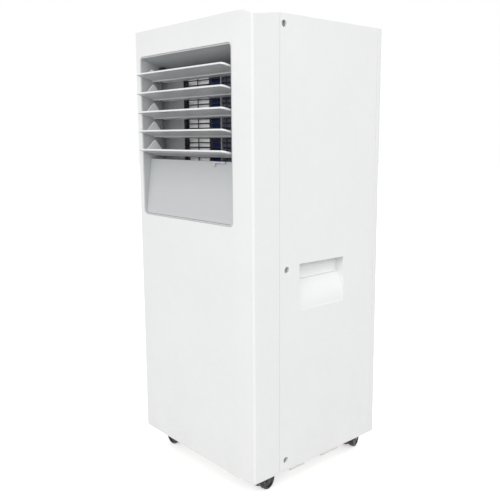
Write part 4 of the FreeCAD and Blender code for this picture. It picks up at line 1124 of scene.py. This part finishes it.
class FansOperator(PieceOperator):
    """Make the two fan wheels, and finish their housings, their shaft and the motor"""

    bl_idname = "portable_ac.fans"
    bl_label = "Fans"

    BLADE_THICK = 0.0011
    BLADE_BOW = 0.0042
    HOOP_WIDE = 0.012
    HOOP_TALL = 0.003
    CHAMFER = 0.0006
    BORE_R = 0.00402
    HUB_R = 0.011
    HUB_FOOT = -0.008
    HUB_TOP = 0.011
    FILLET = 0.0005

    def blade(self, radius, tall, depth):
        """One blade beside the wheel's axis, curved along the radius."""
        outline = []
        steps = 5
        for side in (0, 1):
            for step in range(steps + 1):
                share = step / steps if side == 0 else 1 - step / steps
                r = radius - 0.0015 - depth * share
                bow = self.BLADE_BOW * math.sin(math.pi * 0.5 * share) + side * self.BLADE_THICK
                outline.append((r, bow, 0.0008))
        return smooth(prism("blade", outline, (0, 0, tall - 0.0016)))

    def wheel(self, scene, node):
        """Curved blades in a ring between two hoops, on a dished hub."""
        settings = scene.ac_fan
        low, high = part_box(node)
        shaft_low, shaft_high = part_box("fan_shaft")
        centre = (shaft_low + shaft_high) / 2
        radius = (high.x - low.x) / 2
        blade = self.blade(radius, high.z - low.z, settings.blade_depth)
        values = {"Count": settings.blades, "Centre": (centre.x, centre.y, low.z)}
        values["Material"] = finish("fan_white")
        parts = [repeated(blade, ring_tree(), values)]
        tall, cut = self.HOOP_TALL, self.CHAMFER
        inside = radius - self.HOOP_WIDE
        ring = [(inside, 0), (radius - cut, 0), (radius, cut), (radius, tall - cut), (radius - cut, tall),
                (inside, tall)]
        for z in (low.z, high.z - tall):
            hoop = lathe("hoop", ring, axis_place(Vector((centre.x, centre.y, z)), Z_AXIS), 64, closed=True)
            parts.append(painted(hoop, "fan_white"))
        bore, hub_r, rim_r = self.BORE_R, self.HUB_R, radius - 0.001
        foot, top, soft = self.HUB_FOOT, self.HUB_TOP, self.FILLET
        disc = [(bore, foot), (hub_r - soft, foot), (hub_r, foot + soft), (hub_r, -0.001), (hub_r + 0.002, 0),
                (rim_r, 0), (rim_r, tall), (hub_r + 0.002, tall), (hub_r, tall + 0.001), (hub_r, top - soft),
                (hub_r - soft, top), (bore, top)]
        hub_z = (low.z + high.z) / 2 - tall / 2
        hub = lathe("hub", disc, axis_place(Vector((centre.x, centre.y, hub_z)), Z_AXIS), 64, closed=True)
        parts.append(painted(hub, "fan_white"))
        place_piece(node + "_blades", joined(node, parts), node)

    def make(self, scene):
        self.wheel(scene, "room_fan_wheel")
        self.wheel(scene, "exhaust_fan_wheel")
        refine("room_fan_scroll", 0.0003, 2)
        dress("fan_shaft", "fan_motor", "exhaust_fan_scroll", "exhaust_duct")


class RearOperator(PieceOperator):
    """Make the intake door, its filter and the lower grille"""

    bl_idname = "portable_ac.rear"
    bl_label = "Rear grilles"

    CORNER = 0.0045
    INNER_CORNER = 0.0015
    LOWER_BORDER = 0.007
    DOOR_BORDER = 0.008
    PIN_LONG = 0.006
    PIN_OUT = 0.004           # how far the door's hinge pins stand out at each side
    PIN_R = 0.0012
    THUMB_R = 0.011
    THUMB_HALF = 0.01

    def grille(self, scene, low, high, border):
        """Frame with sloping slats and two uprights."""
        outer = round_rect((low.x, high.x), (low.z, high.z), self.CORNER, low.y)
        inner = round_rect((low.x + border, high.x - border), (low.z + border, high.z - border),
                           self.INNER_CORNER, low.y)
        rim = rounded(ring_prism("rim", outer, inner, (0, high.y - low.y, 0)), 0.0005)
        inside = high.z - low.z - 2 * border
        count = int(inside / scene.ac_rear.slat_pitch)
        pitch = inside / (count + 1)
        y0 = low.y + 0.0003
        y1 = high.y - 0.0003
        z = low.z + border + pitch - 0.0011
        profile = [(y0, z), (y1 - 0.0004, z - 0.0020), (y1, z - 0.0016), (y1, z - 0.0004), (y1 - 0.0005, z),
                   (y0 + 0.0006, z + 0.0022), (y0, z + 0.0020)]
        slat = prism("slat", [(low.x + border - 0.001, y, zz) for y, zz in profile],
                     (high.x - low.x - 2 * border + 0.002, 0, 0))
        slats = row(slat, "casing_white", count, (0, 0, pitch))
        third = (high.x - low.x) / 3
        half = 0.0012
        post = block("post", (low.x + third - half, y0, low.z + 0.001),
                     (low.x + third + half, y0 + 0.0017, high.z - 0.001))
        posts = row(post, "casing_white", 2, (third, 0, 0))
        return [painted(rim, "casing_white"), slats, posts]

    def make(self, scene):
        low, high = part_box("lower_intake_grille")
        parts = self.grille(scene, low, high, self.LOWER_BORDER)
        place_piece("lower_intake_grille_slats", joined("lower_intake_grille", parts), "lower_intake_grille")

        low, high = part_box("filter_door")
        inset = Vector((self.PIN_OUT, 0, 0))
        parts = self.grille(scene, low + inset, high - inset, self.DOOR_BORDER)
        half = self.THUMB_HALF
        notch = [(0, -half), (self.THUMB_R, -half), (self.THUMB_R, half), (0, half)]
        thumb = lathe("thumb", notch, axis_place(Vector((0, high.y, high.z)), Y_AXIS), 40)
        parts[0] = painted(subtract(parts[0], thumb), "casing_white")
        pin = [(0, 0), (self.PIN_R, 0), (self.PIN_R, self.PIN_LONG), (0, self.PIN_LONG)]
        for x in (low.x, high.x - self.PIN_LONG):
            hinge = Vector((x, high.y - 0.0022, low.z + 0.0018))
            parts.append(painted(lathe("stub", pin, axis_place(hinge, X_AXIS), 16), "casing_white"))
        place_piece("filter_door_slats", joined("filter_door", parts), "filter_door")
        self.filter(scene)

    def filter(self, scene):
        """Threads both ways in a frame of six windows."""
        low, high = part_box("air_filter")
        slot = "filter_mesh_grey"
        rim = 0.004
        outer = round_rect((low.x, high.x), (low.z, high.z), 0.002, low.y)
        inner = round_rect((low.x + rim, high.x - rim), (low.z + rim, high.z - rim), 0.001, low.y)
        thick = high.y - low.y
        parts = [painted(rounded(ring_prism("rim", outer, inner, (0, thick, 0)), SMALL_EDGE, 2), slot)]
        third = (high.x - low.x) / 3
        middle = (low.z + high.z) / 2
        half = 0.002
        stile = block("stile", (low.x + third - half, low.y + 0.0003, low.z + rim / 2),
                      (low.x + third + half, high.y - 0.0003, high.z - rim / 2))
        parts.append(row(stile, slot, 2, (third, 0, 0)))
        rail = block("rail", (low.x + rim / 2, low.y + 0.0004, middle - half),
                     (high.x - rim / 2, high.y - 0.0004, middle + half))
        parts.append(painted(rail, slot))
        pitch = scene.ac_rear.wire_pitch
        wire = scene.ac_rear.wire
        y = low.y + 0.001
        upright = block("thread", (low.x + rim, y, low.z + rim / 2),
                        (low.x + rim + wire, y + 0.0003, high.z - rim / 2))
        parts.append(row(upright, slot, int((high.x - low.x - 2 * rim) / pitch), (pitch, 0, 0)))
        level = block("thread", (low.x + rim / 2, y + 0.0002, low.z + rim),
                      (high.x - rim / 2, y + 0.0005, low.z + rim + wire))
        parts.append(row(level, slot, int((high.z - low.z - 2 * rim) / pitch), (0, 0, pitch)))
        place_piece("air_filter_mesh", joined("air_filter", parts), "air_filter")


class FittingsOperator(PieceOperator):
    """Make the exhaust collar, the cord gland and the drain"""

    bl_idname = "portable_ac.fittings"
    bl_label = "Rear fittings"

    def make(self, scene):
        for node in ("exhaust_collar", "cord_inlet", "drain_spigot"):
            refine(node, 0.0005)
        refine("drain_cap", 0.0006)


class CastersOperator(PieceOperator):
    """Make the four casters: twin wheels with hubs under a hooded fork"""

    bl_idname = "portable_ac.casters"
    bl_label = "Casters"

    HEADINGS = {"front_right": 10.0, "front_left": 270.0, "rear_right": 20.0, "rear_left": 140.0}
    AXLE_R = 0.002
    GAP = 0.0004              # between a wheel and the fork's web

    def wheel(self, scene, centre, direction):
        """One wheel: rounded tread, dished side and a raised hub cap."""
        settings = scene.ac_caster
        r, wide = settings.radius, settings.width
        inside = settings.web / 2 + self.GAP
        outside = inside + wide
        tread = [(0, inside), (r - 0.0018, inside), (r - 0.0006, inside + 0.0005), (r, inside + 0.0018),
                 (r, inside + wide * 0.5), (r, outside - 0.0022), (r - 0.0006, outside - 0.0007)]
        dish = [(r - 0.0020, outside), (r - 0.0034, outside - 0.0002), (r - 0.0044, outside - 0.0016)]
        cap = [(0.0052, outside - 0.0018), (0.0047, outside - 0.0006), (0.0036, outside), (0, outside)]
        profile = tread + dish + cap
        return lathe("wheel", profile, axis_place(centre, direction), 56)

    def make(self, scene):
        settings = scene.ac_caster
        for name in CASTER_NAMES:
            node = "caster_wheels_" + name
            low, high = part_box(node)
            centre = (low + high) / 2
            centre.z = settings.radius
            heading = math.radians(self.HEADINGS[name])
            direction = Vector((math.cos(heading), math.sin(heading), 0))
            parts = [painted(self.wheel(scene, centre, direction * side), "wheel_black") for side in (1, -1)]
            half = settings.web / 2 + 0.001
            axle = [(0, -half), (self.AXLE_R, -half), (self.AXLE_R, half), (0, half)]
            parts.append(painted(lathe("axle", axle, axis_place(centre, direction), 20), "bright_steel"))
            place_piece(node + "_pair", joined(node, parts), node)
            refine("caster_fork_" + name, 0.0005)


class ScrewsOperator(PieceOperator):
    """Make the recessed casing screws"""

    bl_idname = "portable_ac.screws"
    bl_label = "Screws"

    HEAD_R = 0.0039
    HEAD_TALL = 0.0024
    SLOT_LONG = 0.0044
    SLOT_WIDE = 0.0009
    SLOT_DEEP = 0.0012
    SHANK_R = 0.0015
    THREAD_PITCH = 0.0012
    THREAD_TURNS = 5
    TIP = (-0.0069, -0.0072)

    def template(self):
        """Pan head with a cross recess and a threaded shank, seat at the origin, head along Z."""
        r, tall = self.HEAD_R, self.HEAD_TALL
        profile = [(0, tall), (r * 0.55, tall), (r * 0.82, tall * 0.86), (r * 0.96, tall * 0.55)]
        profile += [(r, tall * 0.15), (r * 0.97, 0)]
        shank = self.SHANK_R
        pitch = self.THREAD_PITCH
        for turn in range(self.THREAD_TURNS):
            profile += [(shank, -pitch * turn), (shank * 0.78, -pitch * (turn + 0.5))]
        profile += [(shank * 0.4, self.TIP[0]), (0, self.TIP[1])]
        head = lathe("screw", profile, Matrix.Identity(4), 28)
        half_long, half_wide = self.SLOT_LONG / 2, self.SLOT_WIDE / 2
        for turn in (0, 90):
            slot = block("slot", (-half_long, -half_wide, tall - self.SLOT_DEEP),
                         (half_long, half_wide, tall + 0.001))
            slot.transform(Matrix.Rotation(math.radians(turn), 4, "Z"))
            head = subtract(head, slot)
        return smooth(head)

    def make(self, scene):
        spots = self.spots()
        mesh = bpy.data.meshes.new("spots")
        mesh.from_pydata([p for p, _ in spots], [], [])
        facing = mesh.attributes.new("facing", "FLOAT_VECTOR", "POINT")
        facing.data.foreach_set("vector", [c for _, direction in spots for c in direction])
        template = new_object("screw_template", self.template())
        made = repeated(mesh, spots_tree(), {"Template": template, "Material": finish("bright_steel")})
        bpy.data.objects.remove(template)
        place_piece("casing_screw_set", smooth(made), "casing_screws")

    def spots(self):
        """Seat and direction of each screw, from the loose bodies of the CAD node."""
        bm = bmesh.new()
        bm.from_mesh(frame["nodes"]["casing_screws"].data)
        bmesh.ops.remove_doubles(bm, verts=bm.verts, dist=1e-6)
        seen = set()
        spots = []
        for vert in bm.verts:
            if vert in seen:
                continue
            group, queue = set(), [vert]
            while queue:
                v = queue.pop()
                if v in group:
                    continue
                group.add(v)
                queue += [e.other_vert(v) for e in v.link_edges]
            seen |= group
            low = Vector([min(v.co[i] for v in group) for i in range(3)])
            high = Vector([max(v.co[i] for v in group) for i in range(3)])
            size = high - low
            centre = (low + high) / 2
            axis = 0 if size.x > size.y else 1
            if axis == 0:
                out = Vector((math.copysign(1, centre.x), 0, 0))
            else:
                out = Vector((0, 1, 0))
            seat = centre.copy()
            tip = high[axis] if out[axis] > 0 else low[axis]
            seat[axis] = tip - out[axis] * self.HEAD_TALL
            spots.append((seat, out))
        bm.free()
        return sorted(spots, key=lambda spot: tuple(spot[0]))


class InsideOperator(PieceOperator):
    """Finish the base, the cooling circuit and the electrics"""

    bl_idname = "portable_ac.inside"
    bl_label = "Base and inner parts"

    def make(self, scene):
        refine("base_tray", SMALL_EDGE)
        dress("deck", "drip_tray", "electronics_box", "power_board", "compressor", "compressor_grommets",
              "accumulator", "refrigerant_pipes", "filter_drier")


OPERATORS = (StageOperator, CasingOperator, ControlsOperator, OutletOperator, LouvresOperator, CoilsOperator,
             FansOperator, RearOperator, FittingsOperator, CastersOperator, ScrewsOperator, InsideOperator)


class SidebarPanel(bpy.types.Panel):
    """Sidebar page with the sizes, the colours and one button for each group of pieces"""

    bl_idname = "VIEW3D_PT_portable_ac"
    bl_label = "Air conditioner"
    bl_space_type = "VIEW_3D"
    bl_region_type = "UI"
    bl_category = "Air conditioner"

    def draw(self, context):
        for group, settings in SETTINGS.items():
            column = self.layout.column(heading=group[3:].title())
            for key in settings.__annotations__:
                column.prop(getattr(context.scene, group), key)
        for operator in OPERATORS:
            self.layout.operator(operator.bl_idname)


def register():
    """Registers the settings, the operators and the panel."""
    for settings in SETTINGS.values():
        bpy.utils.register_class(settings)
    for group, settings in SETTINGS.items():
        setattr(bpy.types.Scene, group, PointerProperty(type=settings))
    for operator in OPERATORS:
        bpy.utils.register_class(operator)
    bpy.utils.register_class(SidebarPanel)


def unregister():
    bpy.utils.unregister_class(SidebarPanel)
    for operator in reversed(OPERATORS):
        bpy.utils.unregister_class(operator)
    for group, settings in SETTINGS.items():
        delattr(bpy.types.Scene, group)
        bpy.utils.unregister_class(settings)


def main():
    """Makes every piece and the stage."""
    register()
    for operator in OPERATORS:
        group, name = operator.bl_idname.split(".")
        getattr(getattr(bpy.ops, group), name)()


if __name__ == "__main__":
    main()
